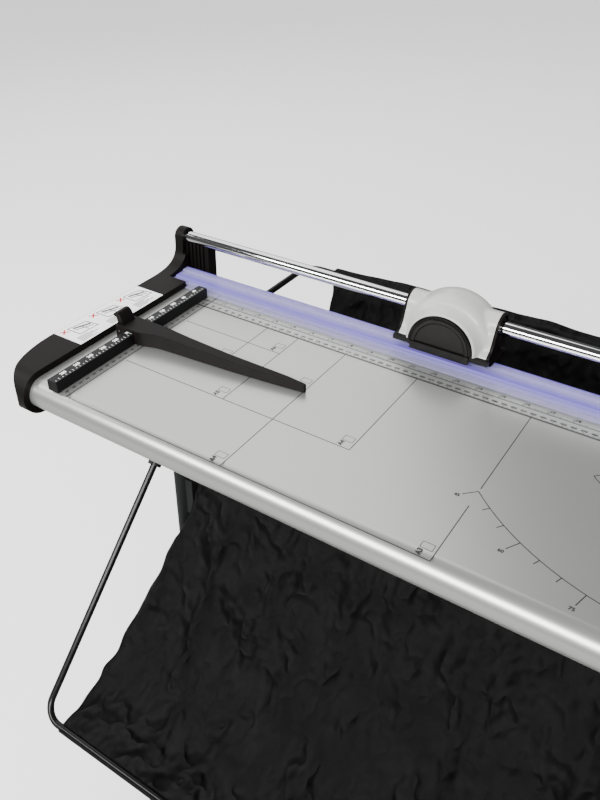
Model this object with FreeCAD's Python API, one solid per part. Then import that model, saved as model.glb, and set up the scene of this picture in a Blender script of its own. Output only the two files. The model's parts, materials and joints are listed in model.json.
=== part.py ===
import FreeCAD, Part
import math
import os

from FreeCAD import Vector

# Rotary paper trimmer on a stand with a catch cloth. Millimetres, +Z up.
#
# The model is laid out in working axes: x = 0 at the zero of the printed scale (the left guide
# edge), y = 0 at the cut line, z = 0 on top of the bed. save() moves each piece to the part's own
# frame, whose origin is on the floor under the middle of the whole object.

# ---------------------------------------------------------------- driving dimensions
cut_length = 1200.0        # printed scale from guide to guide
bed_height = 870.0         # top of the bed above the floor
bed_overhang = 40.0        # bed beyond the scale at each end
bed_front = -305.0         # front of the round nose
nose_r = 18.0              # round nose of the bed
bed_skin = 4.0             # thickness of the bed's top plate
casting_width = 46.0       # end casting, along the cut
casting_rise = 8.0         # casting top above the bed
rail_y = 10.0              # rail axis behind the cut line
rail_z = 44.0              # rail axis above the bed
rail_r = 7.5
carriage_x = 301.0         # the carriage's middle at rest
press_travel = 2.4         # how far the cutting head presses down
clamp_travel = 1.5         # how far the clear strip presses down
working_gap = 0.3          # least room left between moving pieces at the end of their travel
screw_hole = 0.2           # extra radius of a clearance hole
column_x = 40.0            # stand column, from the scale's zero
column_y = -145.0
column_a = 16.0            # half width of the oval column
column_b = 30.0            # half depth of the oval column
foot_half = 310.0          # half length of a foot beam
rod_r = 4.5                # bag rods
rod_x = -8.0               # bag rods' side arms
rear_bar_y = 206.0
rear_bar_z = -60.0
front_bar_y = -410.0
front_bar_z = -440.0
front_arm_y = -125.0       # top end of the front rod's side arm
sleeve_r = 7.5             # cloth sleeve round a bag rod

# ---------------------------------------------------------------- derived places
middle_x = cut_length / 2
bed_left = -bed_overhang
bed_right = cut_length + bed_overhang
casting_out = bed_left - casting_width
floor_z = -bed_height
foot_front = column_y - foot_half
rear_limit = rear_bar_y + sleeve_r
origin = Vector(middle_x, (foot_front + rear_limit) / 2, floor_z)


# ---------------------------------------------------------------- helpers
def box(x0, x1, y0, y1, z0, z1):
    return Part.makeBox(x1 - x0, y1 - y0, z1 - z0, Vector(x0, y0, z0))


def rod_x_axis(x0, x1, y, z, r):
    return Part.makeCylinder(r, x1 - x0, Vector(x0, y, z), Vector(1, 0, 0))


def rod_y_axis(x, y0, y1, z, r):
    return Part.makeCylinder(r, y1 - y0, Vector(x, y0, z), Vector(0, 1, 0))


def rod_z_axis(x, y, z0, z1, r):
    return Part.makeCylinder(r, z1 - z0, Vector(x, y, z0), Vector(0, 0, 1))


def prism_x(points, x0, x1):
    """Straight-sided outline of (y, z) points, drawn out along x."""
    ring = [Vector(x0, y, z) for y, z in points]
    ring.append(ring[0])
    return Part.Face(Part.makePolygon(ring)).extrude(Vector(x1 - x0, 0, 0))


def prism_z(points, z0, z1):
    """Straight-sided outline of (x, y) points, drawn up along z."""
    ring = [Vector(x, y, z0) for x, y in points]
    ring.append(ring[0])
    return Part.Face(Part.makePolygon(ring)).extrude(Vector(0, 0, z1 - z0))


def fuse(shapes):
    whole = shapes[0]
    if len(shapes) > 1:
        whole = whole.multiFuse(shapes[1:])
    return whole.removeSplitter()


def cut(shape, tools):
    return shape.cut(tools)


def flip(shape):
    """The same piece for the right end."""
    return shape.mirror(Vector(middle_x, 0, 0), Vector(1, 0, 0))


def both(shape):
    return [shape, flip(shape)]


def hexagon(x, y, z0, z1, across):
    r = across / math.sqrt(3)
    corners = [math.radians(60 * i) for i in range(6)]
    return prism_z([(x + r * math.cos(a), y + r * math.sin(a)) for a in corners], z0, z1)


def save(name, shapes):
    """Writes one node, as one solid or a group of separate solids."""
    shapes = shapes if isinstance(shapes, list) else [shapes]
    solids = [s for shape in shapes for s in shape.Solids]
    whole = solids[0] if len(solids) == 1 else Part.makeCompound(solids)
    whole = whole.copy()
    whole.translate(origin.negative())
    whole.exportStep("parts/" + name + ".step")


# ---------------------------------------------------------------- bed and knife
box_front = -190.0         # box section under the bed that the stand bolts to
box_rear = -100.0
box_depth = 36.0
bed_wall = 3.0             # walls below the bed's top plate
front_box = 25.0           # depth of the hollow behind the nose
rib_y = (-228.0, -55.0)    # T-shaped ribs below the bed
rib_depth = 26.0
rib_flange = 5.0
rear_wall = 6.0            # bed's rear wall, which carries the bottom knife
rear_wall_depth = 30.0
knife_t = 3.0
knife_depth = 14.0
knife_screw_z = -8.0
knife_screw_r = 2.0
knife_screw_head_r = 3.9
knife_screw_end = -12.0
knife_end = 6.0            # knife stops short of the castings
knife_screw_count = 8
knife_screw_margin = 75.0

knife_screw_gap = (cut_length - 2 * knife_screw_margin) / (knife_screw_count - 1)
knife_screws = [knife_screw_margin + i * knife_screw_gap for i in range(knife_screw_count)]
bracket_bolt_x = [column_x - 30.0, column_x + 30.0]
bracket_bolt_y = [box_front + 12.0, box_rear - 12.0]
bracket_bolt_r = 3.0
guide_width = 14.0
guide_height = 13.0
guide_front = -298.0
guide_rear = -45.0
guide_screw_y = [guide_front + 40.0, (guide_front + guide_rear) / 2, guide_rear - 30.0]
guide_screw_x = -guide_width / 2
guide_screw_r = 2.0


def bed():
    nose_y = bed_front + nose_r
    x0, x1 = bed_left, bed_right
    nose_bottom = -2 * nose_r
    box_y1 = nose_y + front_box
    wall_y0 = -knife_t - rear_wall
    solids = [
        box(x0, x1, nose_y, -knife_t, -bed_skin, 0),
        rod_x_axis(x0, x1, nose_y, -nose_r, nose_r),
        box(x0, x1, nose_y, box_y1, nose_bottom, 0),
        box(x0, x1, box_front, box_rear, -box_depth, 0),
        box(x0, x1, wall_y0, -knife_t, -rear_wall_depth, 0),
    ]
    for y in rib_y:
        y_end = y + bed_wall
        solids.append(box(x0, x1, y, y_end, -rib_depth, 0))
        solids.append(box(x0, x1, y - rib_flange, y_end + rib_flange, -rib_depth, bed_wall - rib_depth))
    ceiling = -bed_skin
    box_floor = bed_wall - box_depth
    hollow = [
        rod_x_axis(x0, x1, nose_y, -nose_r, nose_r - bed_wall),
        box(x0, x1, nose_y, box_y1 - bed_wall, nose_bottom + bed_wall, ceiling),
        box(x0, x1, box_front + bed_wall, box_rear - bed_wall, box_floor, ceiling),
    ]
    for x in knife_screws:
        r = knife_screw_r + screw_hole
        hollow.append(rod_y_axis(x, knife_screw_end, -knife_t + 1, knife_screw_z, r))
    for x in bracket_bolt_x:
        for y in bracket_bolt_y:
            r = bracket_bolt_r + screw_hole
            hollow.extend(both(rod_z_axis(x, y, -box_depth - 1, box_floor + 1, r)))
    for y in guide_screw_y:
        r = guide_screw_r + screw_hole
        hollow.extend(both(rod_z_axis(guide_screw_x, y, ceiling - 1, 1, r)))
    return cut(fuse(solids), hollow)


def bottom_knife():
    bar = box(bed_left + knife_end, bed_right - knife_end, -knife_t, 0, -knife_depth, 0)
    hole_r = knife_screw_r + screw_hole
    sink_r = knife_screw_head_r + screw_hole
    holes = []
    for x in knife_screws:
        holes.append(rod_y_axis(x, -knife_t - 1, 1, knife_screw_z, hole_r))
        sink = Part.makeCone(hole_r, sink_r, 2.0, Vector(x, -2.0, knife_screw_z), Vector(0, 1, 0))
        holes.append(sink)
    return cut(bar, holes)


def knife_screw(x):
    r, head_r, z = knife_screw_r, knife_screw_head_r, knife_screw_z
    shank = rod_y_axis(x, knife_screw_end, -2.0, z, r)
    head = Part.makeCone(r, head_r, 1.9, Vector(x, -2.0, z), Vector(0, 1, 0))
    slot = box(x - head_r, x + head_r, -0.8, 0.2, z - 0.5, z + 0.5)
    return fuse([shank, head]).cut(slot)


# ---------------------------------------------------------------- end castings and rail
casting_nose_r = nose_r + casting_rise
tower_front = -2.0         # post that holds the rail's end
tower_rear = 22.0
tower_thick = 14.0
tower_top_r = 12.0
tower_x = casting_out + tower_thick
sweep_front = -56.0        # where the top starts to sweep up to the post
sweep_end_z = 36.0
casting_bottom = -2 * nose_r - casting_rise
corner_y = -225.0          # where the outer edge starts to turn in towards the front
corner_depth = 90.0        # reaches past the nose, so that the two curves cross cleanly
casting_wall = 4.0
edge_r = 2.5               # rounding of the outer top edge
notch_front = -38.0        # where the clear strip runs over the casting
notch_rear = 4.0
notch_x = -67.0
notch_floor = -2.2
post_side_front = -8.0     # the post's side above the notch
post_side_z = 25.0
casting_bolts = [(-277.0, -18.0), (-145.0, -20.0)]
bolt_r = 3.0
bolt_head_depth = 5.0
rail_bolt_head_r = 6.5
rail_bolt_depth = 20.0
casting_bolt_head_r = 5.5
support_front = 4.0
support_rear = 20.0
support_right = -35.0
rib_pitch = 6.0            # ribs on the front face of the rail's support
rib_gap = 3.0
rib_cut = 2.5
label_t = 0.3
label_y = (-223.0, -82.0)


def casting_side():
    """Side outline: round front, flat top, then a concave sweep up to the rail's end."""
    nose_y = bed_front + nose_r
    top_front = Vector(0, nose_y, casting_rise)
    bottom_front = Vector(0, nose_y, casting_bottom)
    nose_tip = Vector(0, nose_y - casting_nose_r, -nose_r)
    sweep_start = Vector(0, sweep_front, casting_rise)
    sweep_end = Vector(0, tower_front, sweep_end_z)
    curve = Part.BezierCurve()
    curve.setPoles([
        sweep_start,
        Vector(0, sweep_front + 34, casting_rise),
        Vector(0, tower_front, casting_rise + 4),
        sweep_end,
    ])
    cap_front = Vector(0, tower_front, rail_z)
    cap_top = Vector(0, rail_y, rail_z + tower_top_r)
    cap_rear = Vector(0, tower_rear, rail_z)
    rear_foot = Vector(0, tower_rear, casting_bottom)
    edges = [
        Part.Arc(bottom_front, nose_tip, top_front).toShape(),
        Part.makeLine(top_front, sweep_start),
        curve.toShape(),
        Part.makeLine(sweep_end, cap_front),
        Part.Arc(cap_front, cap_top, cap_rear).toShape(),
        Part.makeLine(cap_rear, rear_foot),
        Part.makeLine(rear_foot, bottom_front),
    ]
    return Part.Face(Part.Wire(edges))


def casting_plan():
    """Plan outline: straight outer edge that turns in towards the front as a quarter ellipse."""
    front = corner_y - corner_depth
    corner = Part.BezierCurve()
    round_off = 0.55           # a cubic's handles for a quarter turn
    corner.setPoles([
        Vector(casting_out, corner_y, 0),
        Vector(casting_out, corner_y - round_off * corner_depth, 0),
        Vector(bed_left - round_off * casting_width, front, 0),
        Vector(bed_left, front, 0),
    ])
    rear_in = Vector(bed_left, tower_rear, 0)
    rear_out = Vector(casting_out, tower_rear, 0)
    edges = [
        corner.toShape(),
        Part.makeLine(Vector(bed_left, front, 0), rear_in),
        Part.makeLine(rear_in, rear_out),
        Part.makeLine(rear_out, Vector(casting_out, corner_y, 0)),
    ]
    return Part.Face(Part.Wire(edges))


def end_casting():
    side = casting_side()
    side.translate(Vector(casting_out, 0, 0))
    plan = casting_plan()
    plan.translate(Vector(0, 0, casting_bottom - 1))
    above = rail_z + tower_top_r - casting_bottom + 10
    body = side.extrude(Vector(casting_width, 0, 0)).common(plan.extrude(Vector(0, 0, above)))
    inside = bed_left + 1
    under = casting_bottom - 1
    ceiling = casting_rise - casting_wall
    tools = [
        # clear strip's way over the casting, and the space beside the rail's end post
        box(notch_x, inside, notch_front, notch_rear, notch_floor, above),
        box(tower_x, inside, 2.0, tower_rear + 1, under, above),
        box(tower_x, inside, post_side_front, tower_rear + 1, post_side_z, above),
        # hollow underside
        box(casting_out + casting_wall, bed_left - casting_wall, -262, -46, under, ceiling),
    ]
    holes = [(rail_y, rail_z, rail_bolt_head_r)]
    for y, z in casting_bolts:
        holes.append((y, z, casting_bolt_head_r))
    for y, z, head_r in holes:
        tools.append(rod_x_axis(casting_out - 1, inside, y, z, bolt_r + screw_hole))
        sunk = casting_out + bolt_head_depth
        tools.append(rod_x_axis(casting_out - 1, sunk, y, z, head_r + 0.5))
    return round_top(cut(body, tools))


def round_top(body):
    """Rounds the long outer top edge."""
    def is_outer_top(edge):
        b = edge.BoundBox
        outer = abs(b.XMin - casting_out) < 0.01 and abs(b.XMax - casting_out) < 0.01
        return outer and b.ZMin > casting_rise - 0.1 and b.ZMax < casting_rise + 0.1
    return body.makeFillet(edge_r, [e for e in body.Edges if is_outer_top(e)])


def rail_support():
    """Upright under the rail's end, with upright ribs on its front face."""
    x0, x1 = tower_x, support_right
    top = rail_z - 4.5
    block = box(x0, x1, support_front, support_rear, casting_bottom, top)
    tools = [rod_x_axis(x0 - 1, x1 + 1, rail_y, rail_z, rail_r + 0.05)]
    side = 4.0
    count = int((x1 - x0 - side) / rib_pitch)
    for i in range(count):
        x = x0 + side + i * rib_pitch
        groove_end = support_front + rib_cut
        tools.append(box(x, x + rib_gap, support_front - 1, groove_end, casting_bottom - 1, rail_z))
    return cut(block, tools)


def socket_screw(y, z, head_r, shank_end, socket_r):
    """Socket screw along x, sunk in the casting's outer face."""
    sunk = casting_out + bolt_head_depth
    head = rod_x_axis(casting_out, sunk, y, z, head_r)
    shank = rod_x_axis(sunk, shank_end, y, z, bolt_r)
    socket = rod_x_axis(casting_out - 1, casting_out + 3, y, z, socket_r)
    return fuse([head, shank]).cut(socket)


def rail_bolt():
    return socket_screw(rail_y, rail_z, rail_bolt_head_r, tower_x + rail_bolt_depth, 2.6)


def casting_bolt(y, z):
    return socket_screw(y, z, casting_bolt_head_r, bed_left + 12, 2.3)


def guide_rail():
    bar = rod_x_axis(tower_x, cut_length - tower_x, rail_y, rail_z, rail_r)
    bore = rod_x_axis(tower_x - 1, tower_x + rail_bolt_depth + 1, rail_y, rail_z, bolt_r)
    return cut(bar, both(bore))


def instruction_label():
    x0 = casting_out + edge_r
    return box(x0, bed_left - 0.5, label_y[0], label_y[1], casting_rise, casting_rise + label_t)


# ---------------------------------------------------------------- clear clamp strip
strip_lift = clamp_travel + working_gap    # strip's underside above the bed at rest
strip_end = -65.0
strip_front = -43.0
strip_flange_y = -36.0
spring_y = (-26.0, -10.0)
spring_x = (-62.0, -50.0)
spring_t = 0.3


def clamp_strip():
    """Clear extrusion: thin front flange, low ridge, flat middle and a hollow rear box."""
    z = strip_lift
    main = [
        (strip_flange_y, z), (strip_flange_y, z + 1.5), (-32.0, z + 1.7), (-31.0, z + 3.0),
        (-29.5, z + 3.0), (-28.5, z + 2.2), (-26.0, z + 4.2), (-14.5, z + 4.6),
        (-12.5, z + 6.8), (-3.4, z + 6.8), (-3.0, z + 6.4), (-3.0, z),
    ]
    flange = [
        (strip_front, z), (strip_front, z + 1.0), (strip_flange_y, z + 1.5), (strip_flange_y, z),
    ]
    hollow = [
        (-24.5, z + 1.6), (-24.5, z + 2.6), (-14.0, z + 3.0), (-11.5, z + 5.4),
        (-4.6, z + 5.4), (-4.6, z + 1.6),
    ]
    body = prism_x(main, strip_end, cut_length - strip_end)
    front = prism_x(flange, bed_left + 2, bed_right - 2)
    bore = prism_x(hollow, strip_end - 1, cut_length - strip_end + 1)
    return fuse([body, front]).cut(bore)


def strip_spring():
    """Leaf of spring steel in the casting's notch, arched up to the strip's underside."""
    y0, y1 = spring_y
    middle = (y0 + y1) / 2
    low, high = notch_floor, strip_lift
    ring = [
        (y0, low), (y0, low + spring_t), (middle - 2, high), (middle + 2, high),
        (y1, low + spring_t), (y1, low), (middle + 2, high - spring_t), (middle - 2, high - spring_t),
    ]
    return prism_x(ring, spring_x[0], spring_x[1])


# ---------------------------------------------------------------- guide bars and backstop
guide_chamfer = 2.0
groove_z0 = 4.0            # clamp groove in the guide bar's outer side
groove_z1 = 8.0
groove_depth = 3.0
stop_front = -180.0        # backstop's block on the guide bar
stop_rear = -152.0
stop_top = 18.0
stop_gap = 0.25            # sliding gap round the guide bar
stop_left = -28.0
stop_right = 12.0
arm_tip_x = 213.0
arm_tip_height = 9.5
lever_x = -21.5
lever_z = 10.0
lever_pin_r = 2.0
lever_y0 = -176.0
lever_y1 = -157.0


def guide_bar():
    w, h, c = guide_width, guide_height, guide_chamfer
    outline = [(-w, 0), (-w, h - c), (-w + c, h), (-c, h), (0, h - c), (0, 0)]
    ring = [Vector(x, guide_front, z) for x, z in outline]
    ring.append(ring[0])
    bar = Part.Face(Part.makePolygon(ring)).extrude(Vector(0, guide_rear - guide_front, 0))
    tools = [box(-w - 1, -w + groove_depth, guide_front - 1, guide_rear + 1, groove_z0, groove_z1)]
    for y in guide_screw_y:
        tools.append(rod_z_axis(guide_screw_x, y, -1, 7, guide_screw_r))
    return cut(bar, tools)


def guide_screw(y):
    head = rod_z_axis(guide_screw_x, y, -bed_skin - 2.5, -bed_skin, 3.8)
    shank = rod_z_axis(guide_screw_x, y, -bed_skin, 7, guide_screw_r)
    return fuse([head, shank])


def backstop_arm():
    z0 = 0.4
    block = box(stop_left, stop_right, stop_front, stop_rear, z0, stop_top)
    plan = [
        (stop_right - 4, -179.5), (18, -176.5), (26, -173.6), (40, -172.0),
        (123, -165.4), (arm_tip_x - 3, -155.6), (arm_tip_x, -153.5), (arm_tip_x, -150.5),
        (arm_tip_x - 2, -148.8), (115, -154.2), (stop_right - 4, -154.4),
    ]
    arm = prism_z(plan, z0, stop_top)
    # the arm gets lower towards its tip
    slope_x0 = 30.0
    wedge = Part.Face(Part.makePolygon([
        Vector(slope_x0, -200, stop_top),
        Vector(arm_tip_x + 1, -200, arm_tip_height),
        Vector(arm_tip_x + 1, -200, stop_top + 1),
        Vector(slope_x0, -200, stop_top + 1),
        Vector(slope_x0, -200, stop_top),
    ])).extrude(Vector(0, 80, 0))
    body = fuse([block, arm.cut(wedge)])
    g = stop_gap
    tools = [
        box(-guide_width - g, g, stop_front - 1, stop_rear + 1, -1, guide_height + g),
        # the lever's slot and the pin's hole
        box(stop_left - 1, -16.5, lever_y0 - 0.4, lever_y1 + 0.4, 3.0, stop_top + 1),
        rod_y_axis(lever_x, stop_front - 1, stop_rear + 1, lever_z, lever_pin_r + 0.02),
        # the clamp shoe's window into the groove
        box(-17.0, -guide_width, lever_y0 + 3, lever_y1 - 3, groove_z0 - 0.2, groove_z1 + 0.2),
    ]
    return cut(body, tools)


def clamp_shoe():
    """Small block that the lever's cam pushes into the guide bar's groove."""
    return box(-16.4, -guide_width + groove_depth - 0.3, lever_y0 + 3.3, lever_y1 - 3.3,
               groove_z0 + 0.2, groove_z1 - 0.2)


def lock_lever():
    cam = rod_y_axis(lever_x, lever_y0, lever_y1, lever_z, 4.6)
    lean = [
        (lever_x - 4.4, lever_z + 1.0), (lever_x + 4.0, lever_z + 1.5),
        (lever_x + 2.2, 26.0), (lever_x - 1.0, 35.5), (lever_x - 5.5, 37.5),
        (lever_x - 11.0, 35.0), (lever_x - 10.0, 32.0), (lever_x - 6.5, 31.0),
        (lever_x - 5.0, 25.0),
    ]
    ring = [Vector(x, lever_y0, z) for x, z in lean]
    ring.append(ring[0])
    tab = Part.Face(Part.makePolygon(ring)).extrude(Vector(0, lever_y1 - lever_y0, 0))
    bore = rod_y_axis(lever_x, lever_y0 - 1, lever_y1 + 1, lever_z, lever_pin_r + 0.05)
    return fuse([cam, tab]).cut(bore)


def lever_pin():
    return rod_y_axis(lever_x, stop_front + 0.5, stop_rear - 0.5, lever_z, lever_pin_r)


# ---------------------------------------------------------------- carriage: what runs on the rail
plate_half = 56.0
plate_z0 = 9.4
plate_z1 = 11.0
runner_half = 52.0
runner_r = 11.0
bush_length = 18.0
bush_r = 9.5
bush_gap = 0.05
blade_z = 19.0             # blade's axis above the bed
blade_r = 22.5
blade_y0 = 0.3
blade_t = 1.2
post_x = 42.5
post_y = -8.0
post_r = 2.5
post_top = 22.5
post_screw_x = 40.0        # screws that hold the base plate to the runner
post_screw_r = 1.5
slot_half = 26.0           # base plate's slot for the blade
blade_room = 30.0          # half length of the runner's opening over the blade


def carriage(shape):
    shape.translate(Vector(carriage_x, 0, 0))
    return shape


def bush_spans():
    """Start and end, along the rail, of the two bushes."""
    return [(-runner_half, bush_length - runner_half), (runner_half - bush_length, runner_half)]


def runner_block():
    y0, y1 = rail_y - runner_r, rail_y + runner_r
    outer = fuse([
        rod_x_axis(-runner_half, runner_half, rail_y, rail_z, runner_r),
        box(-runner_half, runner_half, y0, y1, plate_z1, rail_z),
    ])
    tools = [
        rod_x_axis(-runner_half - 1, runner_half + 1, rail_y, rail_z, rail_r + 0.8),
        # room for the blade, in front of the rail
        box(-blade_room, blade_room, -5, rail_y, plate_z1 - 1, 80),
        box(-blade_room, blade_room, rail_y, rail_y + 4, plate_z1 - 1, 30),
    ]
    for x0, x1 in bush_spans():
        tools.append(rod_x_axis(x0, x1, rail_y, rail_z, bush_r))
    for side in (-1, 1):
        x = side * post_screw_x
        tools.append(rod_z_axis(x, rail_y, plate_z1 - 1, plate_z1 + 9, post_screw_r + 0.1))
    return carriage(cut(outer, tools))


def rail_bushes():
    made = []
    for x0, x1 in bush_spans():
        ring = rod_x_axis(x0, x1, rail_y, rail_z, bush_r)
        bore = rod_x_axis(x0 - 1, x1 + 1, rail_y, rail_z, rail_r + bush_gap)
        made.append(carriage(ring.cut(bore)))
    return made


def base_plate():
    plate = box(-plate_half, plate_half, -16, 27, plate_z0, plate_z1)
    low, high = plate_z0 - 1, plate_z1 + 1
    tools = [box(-slot_half, slot_half, -5, 9, low, high)]
    for side in (-1, 1):
        tools.append(rod_z_axis(side * post_screw_x, rail_y, low, high, post_screw_r + 0.1))
        tools.append(rod_z_axis(side * post_x, post_y, low, high, post_r))
    return carriage(cut(plate, tools))


def base_screws():
    top = plate_z1 + 8
    return [carriage(rod_z_axis(side * post_screw_x, rail_y, plate_z0, top, post_screw_r))
            for side in (-1, 1)]


def guide_posts():
    return [carriage(rod_z_axis(side * post_x, post_y, plate_z0, post_top, post_r))
            for side in (-1, 1)]


# ---------------------------------------------------------------- carriage: the cutting head
skirt_half = 34.0
guard_r = 37.0
guard_front = -27.0
guard_rear = -9.0
shell_t = 2.2
shell_half = 50.0
shell_foot = 13.8
saddle_r = 16.0
dome_r = 52.0
lug_z0 = 16.0              # lugs of the blade holder that slide on the posts
lug_z1 = 21.0
web_y = (-7.5, -4.0)       # blade holder's plate
web_z0 = plate_z1 + press_travel + 0.8     # clear of the base plate when pressed
boss_r = 4.6               # round the axle, clear of the base plate when pressed
axle_r = 3.0


def dome(offset):
    """Round body over the blade, turned about the blade's axis. offset moves it inwards."""
    front = -25.0
    outline = [
        (front, 0), (front, guard_r + 2.0), (-19.0, 41.0), (-12.0, 45.5), (-4.0, 50.0),
        (5.0, dome_r), (20.0, dome_r), (28.0, 49.0), (33.0, 42.0), (34.0, 30.0), (34.0, 0),
    ]
    pts = []
    for y, r in outline:
        back = offset if y > 30 else 0
        nearer = offset if y < front + 1 else 0
        pts.append(Vector(0, y - back - nearer, blade_z + max(r - offset, 0)))
    pts[0] = Vector(0, pts[1].y, blade_z)
    pts[-1] = Vector(0, pts[-2].y, blade_z)
    pts.append(pts[0])
    face = Part.Face(Part.makePolygon(pts))
    return face.revolve(Vector(0, 0, blade_z), Vector(0, 1, 0), 360)


def saddle(offset):
    """Arch over the rail, drawn out along it. offset moves it inwards."""
    r = saddle_r - offset
    half = shell_half + (0 if offset == 0 else 12)
    arch = rod_x_axis(-half, half, rail_y, rail_z, r)
    legs = box(-half, half, rail_y - r, rail_y + r, shell_foot - 10, rail_z)
    return arch.fuse(legs)


def flare(offset):
    """Feet of the shell that sweep forward beside the guard."""
    o = offset
    outline = [
        (2.0, shell_foot - 10), (-21.0 + o, shell_foot - 10), (-21.0 + o, 18.5 - o),
        (-15.0 + o * 0.7, 21.5), (-11.0 + o * 0.7, 28.0), (-6.0 + o, 42.0 - o), (2.0, 42.0 - o),
    ]
    return prism_x(outline, -shell_half + o, shell_half - o)


def head_housing():
    outer = dome(0).multiFuse([saddle(0), flare(0)])
    inner = dome(shell_t).multiFuse([saddle(shell_t), flare(shell_t)])
    below = box(-80, 80, -60, 60, -60, shell_foot)
    guard_way = rod_y_axis(0, -40, guard_rear + 2, blade_z, guard_r + 0.2)
    skirt_way = box(-skirt_half - 3.2, skirt_half + 3.2, -40, guard_rear + 2, 0, blade_z)
    return carriage(outer.cut(inner).cut(below).cut(guard_way).cut(skirt_way))


def half_disc(y0, y1, r):
    """Upper half of a disc about the blade's axis, drawn out along y."""
    left, right = Vector(-r, y0, blade_z), Vector(r, y0, blade_z)
    top = Vector(0, y0, blade_z + r)
    ring = Part.Wire([Part.Arc(left, top, right).toShape(), Part.makeLine(right, left)])
    return Part.Face(ring).extrude(Vector(0, y1 - y0, 0))


def blade_guard():
    """Black half-round cover in front of the blade, with a skirt below it."""
    face = guard_front
    inner = face + shell_t
    cup = cut(half_disc(face, guard_rear, guard_r), [
        half_disc(inner, guard_rear + 1, guard_r - shell_t),
        half_disc(face - 1, face + 0.8, guard_r - 8),
    ])
    skirt = box(-skirt_half, skirt_half, face, inner, plate_z0, blade_z)
    lip = box(-skirt_half - 1, skirt_half + 1, face - 1, inner, blade_z - 1, blade_z)
    return carriage(fuse([cup, skirt, lip]))


def blade_holder():
    """Plate that carries the blade's axle and slides on the two posts."""
    front, rear = web_y
    parts = [
        box(-46, 46, front, rear, lug_z0, lug_z1),
        box(-20, 20, front, rear, web_z0, 48.0),
        rod_y_axis(0, -14, rear, blade_z, boss_r),
    ]
    tools = [rod_y_axis(0, -20, 0, blade_z, axle_r)]
    for side in (-1, 1):
        x = side * post_x
        parts.append(box(x - 4.0, x + 4.0, post_y - 3.6, rear, lug_z0, lug_z1))
        tools.append(rod_z_axis(x, post_y, lug_z0 - 1, lug_z1 + 1, post_r + 0.06))
    return carriage(cut(fuse(parts), tools))


def head_springs():
    """Two coil springs, closed rings joined by a round wire rising between base and lug."""
    coil_r = 3.3
    wire_r = 0.45
    rise = lug_z0 - plate_z1 - 2 * wire_r
    springs = []
    for side in (-1, 1):
        helix = Part.makeHelix(rise / 3, rise, coil_r)
        start = Part.makeCircle(wire_r, Vector(coil_r, 0, 0), Vector(0, 1, 0))
        pipe = Part.Wire(helix.Edges).makePipeShell([Part.Wire([start])], True, True)
        pipe.translate(Vector(side * post_x, post_y, plate_z1 + wire_r))
        springs.append(carriage(pipe))
    return springs


def blade_axle():
    shaft = rod_y_axis(0, -16, 6.0, blade_z, axle_r)
    head = rod_y_axis(0, -18, -14, blade_z, boss_r)
    return carriage(fuse([shaft, head]))


hub_r = 5.0
hub_flange_r = 9.0
hub_front = -3.6
hub_rear = 3.2
bevel_t = 0.6              # ground bevel on the blade's rear face
bevel_w = 1.8


def axle_nut():
    """Nut on the rear end of the axle that keeps the blade's hub on it."""
    nut = rod_y_axis(0, hub_rear + 0.4, hub_rear + 3.4, blade_z, hub_r)
    return carriage(nut.cut(rod_y_axis(0, 0, 6.0, blade_z, axle_r)))


def blade_hub():
    hub = fuse([
        rod_y_axis(0, hub_front, hub_rear, blade_z, hub_r),
        rod_y_axis(0, hub_front + 1.2, blade_y0, blade_z, hub_flange_r),
    ])
    return carriage(hub.cut(rod_y_axis(0, -5, 5, blade_z, axle_r + 0.05)))


def rotary_blade():
    bevel_y = blade_y0 + blade_t - bevel_t
    flat = rod_y_axis(0, blade_y0, bevel_y, blade_z, blade_r)
    edge = Vector(0, bevel_y, blade_z)
    bevel = Part.makeCone(blade_r, blade_r - bevel_w, bevel_t, edge, Vector(0, 1, 0))
    return carriage(fuse([flat, bevel]).cut(rod_y_axis(0, -5, 5, blade_z, hub_r)))


def hub_ring():
    """Ring that holds the blade on its hub."""
    ring = rod_y_axis(0, blade_y0 + blade_t, hub_rear - 0.2, blade_z, hub_flange_r - 1)
    return carriage(ring.cut(rod_y_axis(0, 0, 5, blade_z, hub_r)))


# ---------------------------------------------------------------- stand
foot_height = 40.0
foot_width = 60.0
pad_height = 8.0
pad_r = 18.0
tube_wall = 2.0
column_top = -box_depth - 4.0
column_bottom = floor_z + pad_height + foot_height
cross_z1 = -186.0          # top of the cross tube, which the cloth passes over
cross_z0 = cross_z1 - 50.0
cross_y0 = column_y - 15.0
cross_y1 = column_y + 15.0
cross_x0 = column_x + column_a + 4.0


def oval(a, b, z0, z1):
    """Upright oval cylinder at the column's place: half width a along x, half depth b along y."""
    ring = Part.Ellipse(Vector(0, 0, 0), b, a).toShape()
    disc = Part.Face(Part.Wire([ring]))
    disc.rotate(Vector(0, 0, 0), Vector(0, 0, 1), 90)
    disc.translate(Vector(column_x, column_y, z0))
    return disc.extrude(Vector(0, 0, z1 - z0))


def column():
    tube = oval(column_a, column_b, column_bottom, column_top)
    inner = oval(column_a - tube_wall, column_b - tube_wall, column_bottom - 1, column_top + 1)
    return tube.cut(inner)


def top_bracket():
    plate = box(column_x - 44, column_x + 44, box_front, box_rear, column_top, -box_depth)
    tools = []
    for x in bracket_bolt_x:
        for y in bracket_bolt_y:
            tools.append(rod_z_axis(x, y, column_top - 1, -box_depth + 1, 3.2))
    return cut(plate, tools)


def bracket_bolt(x, y):
    head = hexagon(x, y, column_top - 4, column_top, 10.0)
    shank = rod_z_axis(x, y, column_top, -box_depth + 8, 3.0)
    return fuse([head, shank])


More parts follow.
